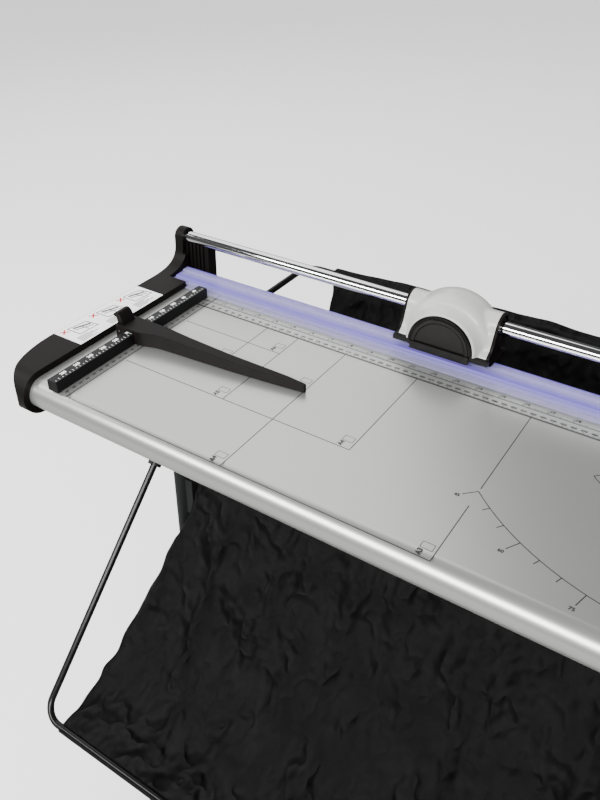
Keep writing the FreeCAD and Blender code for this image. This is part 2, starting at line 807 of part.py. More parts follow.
def foot():
    w = foot_width / 2
    z0 = floor_z + pad_height
    outer = box(column_x - w, column_x + w, foot_front + 4, 2 * column_y - foot_front - 4,
                z0, z0 + foot_height)
    outer = outer.makeFillet(8.0, [e for e in outer.Edges if e.BoundBox.YLength > 100])
    t = tube_wall
    inner = box(column_x - w + t, column_x + w - t, foot_front, 2 * column_y - foot_front,
                z0 + t, z0 + foot_height - t)
    inner = inner.makeFillet(6.0, [e for e in inner.Edges if e.BoundBox.YLength > 100])
    return outer.cut(inner)


def foot_cap(front):
    w = foot_width / 2
    z0 = floor_z + pad_height
    y0 = foot_front if front else 2 * column_y - foot_front - 4
    plate = box(column_x - w, column_x + w, y0, y0 + 4, z0, z0 + foot_height)
    plate = plate.makeFillet(7.9, [e for e in plate.Edges if e.BoundBox.YLength > 3])
    t = tube_wall
    y_plug = y0 + 4 if front else y0 - 12
    plug = box(column_x - w + t, column_x + w - t, y_plug, y_plug + 12,
               z0 + t, z0 + foot_height - t)
    plug = plug.makeFillet(6.0, [e for e in plug.Edges if e.BoundBox.YLength > 3])
    return fuse([plate, plug])


def foot_pads():
    pads = []
    for y in (foot_front + 45, 2 * column_y - foot_front - 45):
        pad = Part.makeCone(pad_r, pad_r - 3, pad_height, Vector(column_x, y, floor_z))
        pads.extend(both(pad))
    return pads


def cross_tube():
    x1 = cut_length - cross_x0
    tube = box(cross_x0, x1, cross_y0, cross_y1, cross_z0, cross_z1)
    tube = tube.makeFillet(5.0, [e for e in tube.Edges if e.BoundBox.XLength > 100])
    t = tube_wall
    inner = box(cross_x0 - 1, x1 + 1, cross_y0 + t, cross_y1 - t, cross_z0 + t, cross_z1 - t)
    return tube.cut(inner)


def cross_bracket():
    """Saddle that joins the cross tube to a column."""
    block = box(column_x, cross_x0, column_y - 25, column_y + 25, cross_z0 - 6, cross_z1)
    return block.cut(oval(column_a, column_b, cross_z0 - 10, cross_z1 + 10))


# ---------------------------------------------------------------- bag rods and their brackets
bracket_y0 = -164.0
bracket_y1 = -122.0
bracket_z0 = -186.0
bracket_z1 = -50.0
socket_boss_r = 9.0
rod_bend = 25.0


def rod_bracket():
    """Plate on the column's outer side, with an arm and a bored boss for each rod."""
    plate_x = column_x - column_a - 8
    low = front_arm_point((bracket_y0 + bracket_y1) / 2).z
    body = fuse([
        box(plate_x, column_x, bracket_y0, bracket_y1, bracket_z0, bracket_z1),
        box(rod_x, plate_x + 1, bracket_y0, bracket_y1, rear_bar_z - 5, rear_bar_z + 5),
        box(rod_x, plate_x + 1, bracket_y0 + 6, bracket_y1 - 6, low - 10, low + 10),
        rod_y_axis(rod_x, bracket_y0, bracket_y1, rear_bar_z, socket_boss_r),
        slant_rod(bracket_y1, bracket_y0, socket_boss_r),
    ])
    tools = [
        oval(column_a, column_b, bracket_z0 - 10, bracket_z1 + 10),
        rod_y_axis(rod_x, bracket_y0 + 6, bracket_y1 + 1, rear_bar_z, rod_r),
        slant_rod(front_arm_y, bracket_y0 - 20, rod_r),
    ]
    return cut(body, tools)


def slant_rod(y0, y1, r):
    """Straight stretch along the front rod's side arm between two depths."""
    start = front_arm_point(y0)
    end = front_arm_point(y1)
    return Part.makeCylinder(r, start.distanceToPoint(end), start, end.sub(start))


def front_arm_point(y):
    return Vector(rod_x, y, front_bar_z + (y - front_bar_y))


def bent_rod(ends, corners):
    """Round rod through ends[0], the corners and ends[1], each corner a tangent arc."""
    route = [ends[0]] + corners + [ends[1]]
    edges = []
    here = route[0]
    for before, corner, after in zip(route, route[1:], route[2:]):
        a = before.sub(corner).normalize()
        b = after.sub(corner).normalize()
        half = a.getAngle(b) / 2
        reach = rod_bend / math.tan(half)
        start = corner.add(a * reach)
        end = corner.add(b * reach)
        bisector = (a + b).normalize()
        middle = corner.add(bisector * (rod_bend / math.sin(half) - rod_bend))
        edges.append(Part.makeLine(here, start))
        edges.append(Part.Arc(start, middle, end).toShape())
        here = end
    edges.append(Part.makeLine(here, route[-1]))
    path = Part.Wire(edges)
    first = route[1].sub(route[0])
    ring = Part.Wire([Part.makeCircle(rod_r, route[0], first)])
    return path.makePipeShell([ring], True, False)


def rear_rod():
    left, right = rod_x, cut_length - rod_x
    socket_y = bracket_y0 + 6
    ends = [Vector(left, socket_y, rear_bar_z), Vector(right, socket_y, rear_bar_z)]
    corners = [Vector(left, rear_bar_y, rear_bar_z), Vector(right, rear_bar_y, rear_bar_z)]
    return bent_rod(ends, corners)


def front_rod():
    start = front_arm_point(front_arm_y)
    corner = front_arm_point(front_bar_y)
    far = cut_length - rod_x
    ends = [start, Vector(far, start.y, start.z)]
    return bent_rod(ends, [corner, Vector(far, corner.y, corner.z)])


def set_screws():
    """Screws in the brackets that hold the rods."""
    made = []
    for y, z in ((-140.0, rear_bar_z), (-143.0, front_arm_point(-143.0).z)):
        head = rod_x_axis(rod_x - socket_boss_r - 5, rod_x - socket_boss_r, y, z, 5.0)
        made.extend(both(head))
    return made


# ---------------------------------------------------------------- catch cloth
cloth_t = 3.0
cloth_edge = 21.0          # side edge of the rear pocket
cloth_waist = 60.0         # side edge between the columns
cloth_front_edge = 50.0    # side edge in front of the columns


def catch_cloth():
    """Sheet from the rear bar down into a pocket, over the cross tube and on to the front bar."""
    gap = 0.4
    top = cross_z1 + gap + 0.2
    path = [
        (rear_bar_y - 0.5, rear_bar_z - rod_r - 2.0), (204.0, -118.0), (191.0, -175.0), (160.0, -238.0),
        (112.0, -283.0), (58.0, -303.0), (0.0, -299.0), (-52.0, -273.0), (-92.0, -236.0),
        (cross_y1 + 4.0, top - 3.0), (cross_y1 - 3.0, top), (cross_y0 + 3.0, top),
        (cross_y0 - 8.0, top - 6.0), (-205.0, -229.0), (-262.0, -300.0), (-320.0, -374.0),
        (-362.0, -424.0), (-392.0, -448.0), (front_bar_y + 1.0, front_bar_z - rod_r - 2.0),
    ]
    upper = []
    lower = []
    for i, (y, z) in enumerate(path):
        y0, z0 = path[max(i - 1, 0)]
        y1, z1 = path[min(i + 1, len(path) - 1)]
        length = math.hypot(y1 - y0, z1 - z0)
        ny, nz = -(z1 - z0) / length, (y1 - y0) / length
        if nz < 0:
            ny, nz = -ny, -nz
        upper.append((y + ny * cloth_t, z + nz * cloth_t))
        lower.append((y, z))
    ribbon = prism_x(lower + upper[::-1], cloth_edge, cut_length - cloth_edge)
    sleeves = []
    bores = []
    for y, z in ((rear_bar_y, rear_bar_z), (front_bar_y, front_bar_z)):
        sleeves.append(rod_x_axis(cloth_edge, cut_length - cloth_edge, y, z, sleeve_r))
        bores.append(rod_x_axis(cloth_edge - 1, cut_length - cloth_edge + 1, y, z, rod_r + 0.3))
    waist = box(cloth_edge - 1, cloth_waist, column_y - 40, column_y + 48, -400, 0)
    front = box(cloth_edge - 1, cloth_front_edge, front_bar_y - 20, column_y - 40, -500, 0)
    bores.extend(both(waist) + both(front))
    return cut(fuse([ribbon] + sleeves), bores)


# ---------------------------------------------------------------- all pieces
def build():
    os.makedirs("parts", exist_ok=True)
    save("bed_extrusion", bed())
    save("bottom_knife", bottom_knife())
    save("knife_screws", [knife_screw(x) for x in knife_screws])
    casting = end_casting()
    save("end_casting_left", casting)
    save("end_casting_right", flip(casting))
    support = rail_support()
    save("rail_support_left", support)
    save("rail_support_right", flip(support))
    save("guide_rail", guide_rail())
    save("rail_bolts", both(rail_bolt()))
    bolts = [casting_bolt(y, z) for y, z in casting_bolts]
    save("casting_bolts", bolts + [flip(b) for b in bolts])
    save("instruction_label", instruction_label())
    save("clamp_strip", clamp_strip())
    save("strip_springs", both(strip_spring()))
    bar = guide_bar()
    save("guide_bar_left", bar)
    save("guide_bar_right", flip(bar))
    screws = [guide_screw(y) for y in guide_screw_y]
    save("guide_screws", screws + [flip(s) for s in screws])
    save("backstop_arm", backstop_arm())
    save("clamp_shoe", clamp_shoe())
    save("lock_lever", lock_lever())
    save("lever_pin", lever_pin())
    save("runner_block", runner_block())
    save("rail_bushes", rail_bushes())
    save("base_plate", base_plate())
    save("base_screws", base_screws())
    save("guide_posts", guide_posts())
    save("head_springs", head_springs())
    save("head_housing", head_housing())
    save("blade_guard", blade_guard())
    save("blade_holder", blade_holder())
    save("blade_axle", blade_axle())
    save("axle_nut", axle_nut())
    save("blade_hub", blade_hub())
    save("rotary_blade", rotary_blade())
    save("hub_ring", hub_ring())
    save("column_left", column())
    save("column_right", flip(column()))
    save("top_bracket_left", top_bracket())
    save("top_bracket_right", flip(top_bracket()))
    bolts = [bracket_bolt(x, y) for x in bracket_bolt_x for y in bracket_bolt_y]
    save("bracket_bolts", bolts + [flip(b) for b in bolts])
    save("foot_left", foot())
    save("foot_right", flip(foot()))
    caps = [foot_cap(True), foot_cap(False)]
    save("foot_caps", caps + [flip(c) for c in caps])
    save("foot_pads", foot_pads())
    save("cross_tube", cross_tube())
    save("cross_bracket_left", cross_bracket())
    save("cross_bracket_right", flip(cross_bracket()))
    save("rod_bracket_left", rod_bracket())
    save("rod_bracket_right", flip(rod_bracket()))
    save("rear_rod", rear_rod())
    save("front_rod", front_rod())
    save("set_screws", set_screws())
    save("catch_cloth", catch_cloth())


build()
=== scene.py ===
import json
import math

import bmesh
import bpy
from mathutils import Matrix, Vector, noise


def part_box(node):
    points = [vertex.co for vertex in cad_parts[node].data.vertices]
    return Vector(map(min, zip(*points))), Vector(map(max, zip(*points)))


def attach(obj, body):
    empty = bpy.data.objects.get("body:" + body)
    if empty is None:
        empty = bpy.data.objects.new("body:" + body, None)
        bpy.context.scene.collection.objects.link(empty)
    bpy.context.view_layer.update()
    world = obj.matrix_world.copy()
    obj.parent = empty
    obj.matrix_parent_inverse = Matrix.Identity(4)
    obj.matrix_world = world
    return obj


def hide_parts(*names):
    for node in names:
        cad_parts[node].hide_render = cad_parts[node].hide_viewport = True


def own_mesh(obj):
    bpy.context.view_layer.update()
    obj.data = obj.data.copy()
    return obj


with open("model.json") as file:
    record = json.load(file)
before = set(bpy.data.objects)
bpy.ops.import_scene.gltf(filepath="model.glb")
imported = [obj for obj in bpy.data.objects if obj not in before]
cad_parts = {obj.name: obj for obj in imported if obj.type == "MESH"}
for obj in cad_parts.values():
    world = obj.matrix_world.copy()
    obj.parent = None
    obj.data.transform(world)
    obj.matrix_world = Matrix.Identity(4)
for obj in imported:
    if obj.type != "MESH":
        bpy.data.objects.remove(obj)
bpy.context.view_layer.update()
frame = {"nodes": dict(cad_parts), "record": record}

bl_info = {
    "name": "Rotary Paper Trimmer",
    "version": (1, 0, 0),
    "blender": (4, 5, 0),
    "location": "View3D > Sidebar > Trimmer",
    "description": "Builds a large-format rotary paper trimmer with its stand and catch cloth",
    "category": "Add Mesh",
}

# Pieces are modelled in millimetres on the trimmer's own axes: x = 0 at the zero of the printed
# scale, y = 0 at the cut line, z = 0 on top of the bed. piece() takes them to the frame's metres.
MM = 0.001
ZERO = Vector((
    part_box("guide_bar_left")[1].x,
    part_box("bottom_knife")[1].y,
    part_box("bed_extrusion")[1].z,
))
TO_FRAME = Matrix.Translation(ZERO) @ Matrix.Scale(MM, 4)


def node_box(node):
    """Lowest and highest corner of a CAD node on the trimmer's axes, in millimetres."""
    low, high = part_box(node)
    return (low - ZERO) / MM, (high - ZERO) / MM


BED_LOW, BED_HIGH = node_box("bed_extrusion")
CUT_LENGTH = node_box("guide_bar_right")[0].x
MIDDLE_X = CUT_LENGTH / 2
RUNNER_LOW, RUNNER_HIGH = node_box("runner_block")
CARRIAGE_X = (RUNNER_LOW.x + RUNNER_HIGH.x) / 2
RAIL_LOW, RAIL_HIGH = node_box("guide_rail")
RAIL_Y = (RAIL_LOW.y + RAIL_HIGH.y) / 2
RAIL_Z = (RAIL_LOW.z + RAIL_HIGH.z) / 2
BLADE_LOW, BLADE_HIGH = node_box("rotary_blade")
BLADE_Z = (BLADE_LOW.z + BLADE_HIGH.z) / 2
SLOTS = {row["node"]: row["material_slot"] for row in frame["record"]["subparts"]}


# ------------------------------------------------------------------ shader maths
class Value:
    """A socket that takes part in sums. Each sum adds its Math node."""

    def __init__(self, finish, socket):
        self.finish = finish
        self.socket = socket

    def sum(self, operation, first, second=0.0):
        return self.finish.node("ShaderNodeMath", {"operation": operation}, [first, second])

    def __add__(self, other):
        return self.sum("ADD", self, other)

    def __radd__(self, other):
        return self.sum("ADD", other, self)

    def __sub__(self, other):
        return self.sum("SUBTRACT", self, other)

    def __rsub__(self, other):
        return self.sum("SUBTRACT", other, self)

    def __mul__(self, other):
        return self.sum("MULTIPLY", self, other)

    def __rmul__(self, other):
        return self.sum("MULTIPLY", other, self)

    def __truediv__(self, other):
        return self.sum("DIVIDE", self, other)

    def __pow__(self, other):
        return self.sum("POWER", self, other)

    def __gt__(self, other):
        return self.sum("GREATER_THAN", self, other)

    def __lt__(self, other):
        return self.sum("LESS_THAN", self, other)


class Finish:
    """A material in the making. Constants go on the shader's own sockets."""

    def __init__(self, name, **constants):
        self.material = bpy.data.materials.new(name)
        self.material.use_nodes = True
        self.tree = self.material.node_tree
        self.shader = self.tree.nodes["Principled BSDF"]
        for socket, value in constants.items():
            self.shader.inputs[socket.replace("_", " ")].default_value = value

    def node(self, kind, settings=None, inputs=(), output=0):
        made = self.tree.nodes.new(kind)
        for name, value in (settings or {}).items():
            if name == "stops":
                ramp = made.color_ramp.elements
                while len(ramp) < len(value):
                    ramp.new(0.5)
                for stop, (place, level) in zip(ramp, value):
                    stop.position = place
                    stop.color = (level, level, level, 1)
            else:
                setattr(made, name, value)
        pairs = inputs.items() if isinstance(inputs, dict) else enumerate(inputs)
        for key, value in pairs:
            if isinstance(value, Value):
                self.tree.links.new(value.socket, made.inputs[key])
            else:
                made.inputs[key].default_value = value
        return Value(self, made.outputs[output])

    def place(self, stretch=(1, 1, 1), uv=False):
        """Coordinates in metres, each axis times its stretch."""
        source = self.node("ShaderNodeTexCoord", output=2 if uv else 3)
        return self.node("ShaderNodeMapping", inputs={0: source, 3: stretch})

    def noise(self, scale, stretch=(1, 1, 1), detail=2.0, uv=False):
        inputs = {"Vector": self.place(stretch, uv), "Scale": scale, "Detail": detail}
        return self.node("ShaderNodeTexNoise", inputs=inputs)

    def axis(self, name, stretch=(1, 1, 1), uv=False):
        """One coordinate, as a Value."""
        return self.node("ShaderNodeSeparateXYZ", inputs=[self.place(stretch, uv)], output="XYZ".index(name))

    def mix(self, factor, first, second):
        inputs = {0: factor, 6: (*first, 1), 7: (*second, 1)}
        return self.node("ShaderNodeMix", {"data_type": "RGBA"}, inputs, output=2)

    def between(self, value, low, high):
        """Takes 0..1 to low..high."""
        return value * (high - low) + low

    def set(self, socket, value):
        self.tree.links.new(value.socket, self.shader.inputs[socket])

    def bump(self, height, strength, depth):
        """depth is in metres."""
        inputs = {"Strength": strength, "Distance": depth, "Height": height}
        self.set("Normal", self.node("ShaderNodeBump", inputs=inputs))


def darker(colour, share):
    return tuple(part * share for part in colour)


# ------------------------------------------------------------------ finishes
def satin_aluminium():
    """Anodised extrusion: draw lines along it, faint cloudiness and a soft sheen."""
    colour = settings().bed_colour
    f = Finish("satin_aluminium", Metallic=0.8)
    drawn = f.noise(1.0, (6, 1500, 1500), 3)
    cloud = f.noise(5.0, (0.6, 1, 1), 3)
    f.set("Base Color", f.mix(drawn * 0.5 + cloud * 0.5, darker(colour, 0.94), darker(colour, 1.05)))
    f.set("Roughness", f.between(drawn * 0.6 + cloud * 0.4, 0.25, 0.35))
    f.bump(drawn, 0.12, 0.00004)
    return f.material


def ground_steel():
    """Ground steel: fine scratches along its length."""
    f = Finish("ground_steel", Metallic=1.0)
    scratch = f.noise(1.0, (20, 4000, 2500), 4)
    f.set("Base Color", f.mix(scratch, (0.42, 0.43, 0.45), (0.68, 0.69, 0.7)))
    f.set("Roughness", f.between(scratch, 0.18, 0.4))
    f.bump(scratch, 0.2, 0.00003)
    return f.material


def zinc_steel():
    """Zinc-plated fasteners with dull patches."""
    f = Finish("zinc_steel", Metallic=1.0)
    patch = f.noise(320.0, detail=4)
    f.set("Base Color", f.mix(patch, (0.32, 0.33, 0.34), (0.6, 0.6, 0.58)))
    f.set("Roughness", f.between(patch, 0.24, 0.5))
    f.bump(f.noise(2600.0), 0.15, 0.00003)
    return f.material


def grained_plastic(name, colour, rough, grain=1500.0, depth=0.00005, tone=1.5, coat=0.0, spec=0.1):
    """Moulded plastic with an eroded grain, handled places slightly shinier."""
    f = Finish(name, Specular_IOR_Level=spec, Coat_Weight=coat, Coat_Roughness=0.16)
    pits = f.noise(grain, detail=2)
    worn = f.noise(14.0, detail=3)
    f.set("Base Color", f.mix(worn, darker(colour, 1 / tone), darker(colour, tone)))
    f.set("Roughness", f.between(pits * 0.5 + worn * 0.5, rough - 0.09, rough + 0.12))
    f.bump(pits, 0.35, depth)
    return f.material


def black_plastic():
    return grained_plastic("black_plastic", settings().plastic_colour, 0.42)


def guard_plastic():
    return grained_plastic("guard_plastic", darker(settings().plastic_colour, 0.5), 0.3, 2200.0, 0.00003, 1.5, 0.06)


def head_plastic():
    return grained_plastic("head_plastic", settings().head_colour, 0.32, 1800.0, 0.00004, 1.03, 0.4, 0.3)


def rail_chrome():
    """Hard chrome with faint grinding marks round it."""
    f = Finish("rail_chrome", Metallic=1.0)
    marks = f.noise(1.0, (2500, 60, 60), 2)
    f.set("Base Color", f.mix(marks, (0.78, 0.78, 0.79), (0.9, 0.9, 0.91)))
    f.set("Roughness", f.between(marks, 0.04, 0.1))
    f.bump(marks, 0.05, 0.00001)
    return f.material


# depth of the strip's violet from its front edge to its rear: partly the tint of thicker plastic, partly painted
# edge-lighting
STRIP_TINT_AND_EDGE_LIGHT_STOPS = [(0, 0.02), (0.16, 0.1), (0.3, 0.6), (0.44, 1.0), (0.56, 0.85), (0.68, 0.36), (0.92, 0.3), (0.96, 1.0)]


def violet_clear():
    """Tinted clear extrusion: its tint with painted edge-lighting, a colour that thins towards the front flange."""
    deep, pale = settings().strip_colour, (0.41, 0.39, 0.64)
    f = Finish("violet_clear", IOR=1.45, Coat_Weight=0.25, Coat_Roughness=0.06)
    low, high = (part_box("clamp_strip")[0].y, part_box("clamp_strip")[1].y)
    across = (f.axis("Y") - low) / (high - low)
    drawn = f.noise(1.0, (2, 2200, 2200), 2)
    # tint and painted edge-lighting: deep and opaque across the middle and at the rear, pale and clear at the front
    # flange
    body = f.node("ShaderNodeValToRGB", {"stops": STRIP_TINT_AND_EDGE_LIGHT_STOPS}, [across])
    f.set("Base Color", f.mix(body * 0.85 + drawn * 0.15, pale, tuple(deep)))
    f.set("Alpha", f.between(body, 0.22, 0.86))
    f.set("Roughness", f.between(drawn, 0.1, 0.24))
    f.bump(drawn, 0.25, 0.00005)
    return f.material


def black_anodised():
    f = Finish("black_anodised", Metallic=0.6)
    drawn = f.noise(1.0, (1500, 8, 1500), 3)
    f.set("Base Color", f.mix(drawn, (0.004, 0.004, 0.004), (0.014, 0.014, 0.015)))
    f.set("Roughness", f.between(drawn, 0.28, 0.46))
    f.bump(drawn, 0.2, 0.00003)
    return f.material


def powder_coat(name, colour, rough, peel=420.0, depth=0.00012):
    """Powder coat with orange peel."""
    f = Finish(name, Specular_IOR_Level=0.2, Coat_Weight=0.12, Coat_Roughness=0.2)
    skin = f.noise(peel, detail=1)
    cloud = f.noise(9.0, detail=2)
    f.set("Base Color", f.mix(cloud, darker(colour, 0.7), darker(colour, 1.4)))
    f.set("Roughness", f.between(skin * 0.6 + cloud * 0.4, rough - 0.08, rough + 0.12))
    f.bump(skin, 0.5, depth)
    return f.material


def stand_paint():
    return powder_coat("stand_paint", settings().stand_colour, 0.45)


def rod_paint():
    return powder_coat("rod_paint", (0.004, 0.004, 0.004), 0.24, 300.0, 0.00005)


def foot_rubber():
    f = Finish("foot_rubber")
    dust = f.noise(60.0, detail=4)
    f.set("Base Color", f.mix(dust ** 2.0, (0.012, 0.012, 0.012), (0.07, 0.068, 0.064)))
    f.set("Roughness", f.between(dust, 0.65, 0.9))
    f.bump(f.noise(900.0, detail=3), 0.5, 0.0001)
    return f.material


def bush_bronze():
    """Sintered bronze: open pores and an oily tone."""
    f = Finish("bush_bronze", Metallic=0.9)
    pores = f.noise(1800.0, detail=3)
    f.set("Base Color", f.mix(pores, (0.24, 0.14, 0.06), (0.6, 0.42, 0.22)))
    f.set("Roughness", f.between(pores, 0.35, 0.6))
    f.bump(pores, 0.4, 0.00005)
    return f.material


def label_film():
    f = Finish("label_film", Coat_Weight=0.35, Coat_Roughness=0.12)
    mottle = f.noise(160.0, detail=3)
    f.set("Base Color", f.mix(mottle, (0.8, 0.8, 0.81), (0.9, 0.9, 0.9)))
    f.set("Roughness", f.between(mottle, 0.3, 0.42))
    return f.material


def ink(name, colour, rough=0.5):
    """Screen-printed ink, a little uneven in its cover."""
    f = Finish(name)
    cover = f.noise(700.0, detail=3)
    f.set("Base Color", f.mix(cover, darker(colour, 0.85), darker(colour, 1.2)))
    f.set("Roughness", f.between(cover, rough - 0.08, rough + 0.1))
    return f.material


def dark_ink():
    return ink("dark_ink", settings().ink_colour)


def white_ink():
    return ink("white_ink", (0.75, 0.75, 0.75))


def grey_ink():
    return ink("grey_ink", (0.05, 0.052, 0.055))


def red_ink():
    return ink("red_ink", (0.62, 0.03, 0.03))


def black_nylon():
    """Thin plain-woven nylon: threads crossing under and over."""
    f = Finish("black_nylon", Specular_IOR_Level=0.12)
    turn = 2 * math.pi / (settings().thread_pitch * MM)
    warp = f.node("ShaderNodeMath", {"operation": "SINE"}, [f.axis("X", uv=True) * turn])
    weft = f.node("ShaderNodeMath", {"operation": "SINE"}, [f.axis("Y", uv=True) * turn])
    weave = warp * weft * 0.5 + 0.5
    cloud = f.noise(7.0, detail=3, uv=True)
    slub = f.noise(1.0, (40, 1600, 1), 2, uv=True)
    base = settings().cloth_colour
    f.set("Base Color", f.mix(weave * 0.4 + cloud * 0.35 + slub * 0.25, darker(base, 0.55), darker(base, 1.7)))
    f.set("Roughness", f.between(weave * 0.3 + cloud * 0.4 + slub * 0.3, 0.3, 0.46))
    creases = f.noise(26.0, (1, 0.8, 1), 2, uv=True)
    fold = f.node("ShaderNodeMath", {"operation": "ABSOLUTE"}, [creases - 0.5])
    f.bump(weave * 0.02 + slub * 0.01 - fold * 2.2, 1.0, 0.011)
    return f.material


def pale_floor():
    """Near white, with a painted reflection: greyer where metal mirrors it, since glossy rays see it dark."""
    f = Finish("pale_floor")
    speck = f.noise(3.0, detail=3)
    mirrored = f.node("ShaderNodeLightPath", output="Is Glossy Ray")
    # painted reflection: the floor's colour falls to dark grey for glossy rays only, so metal mirrors a darker floor
    # than the camera sees
    f.set("Base Color", f.mix(mirrored * (0.86 + speck * 0.04), (0.96, 0.96, 0.96), (0.08, 0.08, 0.08)))
    f.set("Roughness", f.between(speck, 0.7, 0.8))
    return f.material


MADE_FINISHES = {}


def finish(maker):
    """Each material is made once."""
    if maker not in MADE_FINISHES:
        MADE_FINISHES[maker] = maker()
    return MADE_FINISHES[maker]


SLOT_FINISH = {
    "satin_aluminium": satin_aluminium, "knife_steel": ground_steel, "fastener_steel": zinc_steel,
    "black_plastic": black_plastic, "rail_chrome": rail_chrome, "label_white": label_film,
    "violet_clear": violet_clear, "black_anodised": black_anodised, "bush_bronze": bush_bronze,
    "grey_plastic": head_plastic, "guard_black": guard_plastic, "stand_paint": stand_paint,
    "rod_paint": rod_paint, "foot_rubber": foot_rubber, "black_nylon": black_nylon,
}


# ------------------------------------------------------------------ modelling helpers, in mm
def arc(centre, radius, start, end, steps):
    """Points round a centre, angles in degrees from the first axis towards the second."""
    turns = [math.radians(start + (end - start) * i / steps) for i in range(steps + 1)]
    return [(centre[0] + radius * math.cos(t), centre[1] + radius * math.sin(t)) for t in turns]


def curve(points, steps=8):
    """Smooth line through (a, b) points."""
    line = [Vector(p) for p in points]
    line = [line[0] * 2 - line[1]] + line + [line[-1] * 2 - line[-2]]
    made = []
    for p0, p1, p2, p3 in zip(line, line[1:], line[2:], line[3:]):
        for i in range(steps):
            t = i / steps
            made.append(0.5 * (
                2 * p1 + (p2 - p0) * t + (2 * p0 - 5 * p1 + 4 * p2 - p3) * t * t
                + (3 * p1 - p0 - 3 * p2 + p3) * t ** 3))
    made.append(line[-2])
    return [tuple(p) for p in made]


def extruded(loops, axis, start, end, bm=None):
    """Solid from an outline, and any holes in it, drawn out along an axis.

    The outline's (a, b) are (y, z) along X, (x, z) along Y and (x, y) along Z.
    """
    bm = bm or bmesh.new()
    lift = {
        "X": lambda a, b: (start, a, b),
        "Y": lambda a, b: (a, start, b),
        "Z": lambda a, b: (a, b, start),
    }[axis]
    edges = []
    for loop in loops:
        ring = [bm.verts.new(lift(a, b)) for a, b in loop]
        edges += [bm.edges.new(pair) for pair in zip(ring, ring[1:] + ring[:1])]
    if len(loops) == 1:
        faces = [bm.faces.new(ring)]
    else:
        filled = bmesh.ops.triangle_fill(bm, use_beauty=True, use_dissolve=False, edges=edges)
        faces = [g for g in filled["geom"] if isinstance(g, bmesh.types.BMFace)]
    made = bmesh.ops.extrude_face_region(bm, geom=faces, use_keep_orig=True)["geom"]
    way = {"X": (end - start, 0, 0), "Y": (0, end - start, 0), "Z": (0, 0, end - start)}[axis]
    bmesh.ops.translate(bm, vec=way, verts=[g for g in made if isinstance(g, bmesh.types.BMVert)])
    bmesh.ops.recalc_face_normals(bm, faces=bm.faces)
    return bm


def block(bm, low, high):
    """Adds a box."""
    made = bmesh.ops.create_cube(bm, size=1.0)["verts"]
    low, high = Vector(low), Vector(high)
    bmesh.ops.scale(bm, vec=high - low, verts=made)
    bmesh.ops.translate(bm, vec=(low + high) / 2, verts=made)
    return made


def rounded(bm, width, segments=2, angle=28.0, choose=None):
    """Bevels the edges that are sharper than angle, or those of them that choose picks."""
    limit = math.radians(angle)
    edges = [e for e in bm.edges if len(e.link_faces) == 2 and e.calc_face_angle(0) > limit]
    if choose:
        edges = [e for e in edges if choose(*[v.co for v in e.verts])]
    bmesh.ops.bevel(bm, geom=edges, offset=width, offset_type="OFFSET", segments=segments, profile=0.5,
                    affect="EDGES", clamp_overlap=True, material=-1)
    return bm


def spun(profile, centre, axis, segments, turn=360.0):
    """Solid of revolution. profile holds (distance from the axis, place along Y)."""
    bm = bmesh.new()
    ring = [bm.verts.new((centre[0] + r, y, centre[2])) for r, y in profile]
    edges = [bm.edges.new(pair) for pair in zip(ring, ring[1:] + ring[:1])]
    full = turn >= 360
    start = edges if full else edges + [bm.faces.new(ring)]
    bmesh.ops.spin(bm, geom=start, cent=centre, axis=axis, angle=math.radians(turn), steps=segments,
                   use_merge=full)
    bmesh.ops.remove_doubles(bm, verts=bm.verts, dist=0.001)
    bmesh.ops.recalc_face_normals(bm, faces=bm.faces)
    return bm


def tube(bm, start, end, radius, segments=24):
    """Adds a closed round bar between two points."""
    start, end = Vector(start), Vector(end)
    way = end - start
    made = bmesh.ops.create_cone(bm, cap_ends=True, segments=segments, radius1=radius, radius2=radius,
                                 depth=way.length)["verts"]
    turn = way.to_track_quat("Z", "Y").to_matrix().to_4x4()
    bmesh.ops.transform(bm, matrix=Matrix.Translation((start + end) / 2) @ turn, verts=made)
    return made


def piece(name, bm, maker, body="frame", replaces=(), angle=32.0, weighted=True):
    """Finished piece from a bmesh in millimetres."""
    bm.transform(TO_FRAME)
    mesh = bpy.data.meshes.new(name)
    bm.to_mesh(mesh)
    bm.free()
    return mesh_piece(name, mesh, maker, body, replaces, angle, weighted)


def mesh_piece(name, mesh, maker, body, replaces, angle=32.0, weighted=True):
    made = bpy.data.objects.new(name, mesh)
    bpy.context.scene.collection.objects.link(made)
    mesh.materials.clear()
    mesh.materials.append(finish(maker))
    mesh.shade_smooth()
    mesh.set_sharp_from_angle(angle=math.radians(angle))
    if weighted:
        made.modifiers.new("even shading", "WEIGHTED_NORMAL").keep_sharp = True
    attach(made, body)
    if replaces:
        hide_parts(*replaces)
    return made


def cad_copy(node):
    """The node's mesh with its loose triangles merged and flat faces whole, in millimetres."""
    bm = bmesh.new()
    bm.from_mesh(frame["nodes"][node].data)
    bm.transform(TO_FRAME.inverted())
    bmesh.ops.remove_doubles(bm, verts=bm.verts, dist=0.002)
    bmesh.ops.dissolve_limit(bm, angle_limit=math.radians(0.5), verts=bm.verts, edges=bm.edges,
                             use_dissolve_boundaries=False)
    return bm


def softened(node, name, width, segments=2, body="frame", angle=28.0, choose=None):
    """A copy of a node with its edges rounded, in the node's place."""
    bm = rounded(cad_copy(node), width, segments, angle, choose)
    return piece(name, bm, SLOT_FINISH[SLOTS[node]], body, [node])


def paint(*nodes):
    """Gives CAD nodes the finish of their slot."""
    for node in nodes:
        made = frame["nodes"][node]
        for place in made.material_slots:
            place.material = finish(SLOT_FINISH[SLOTS[node]])


def settings():
    return bpy.context.scene.trimmer


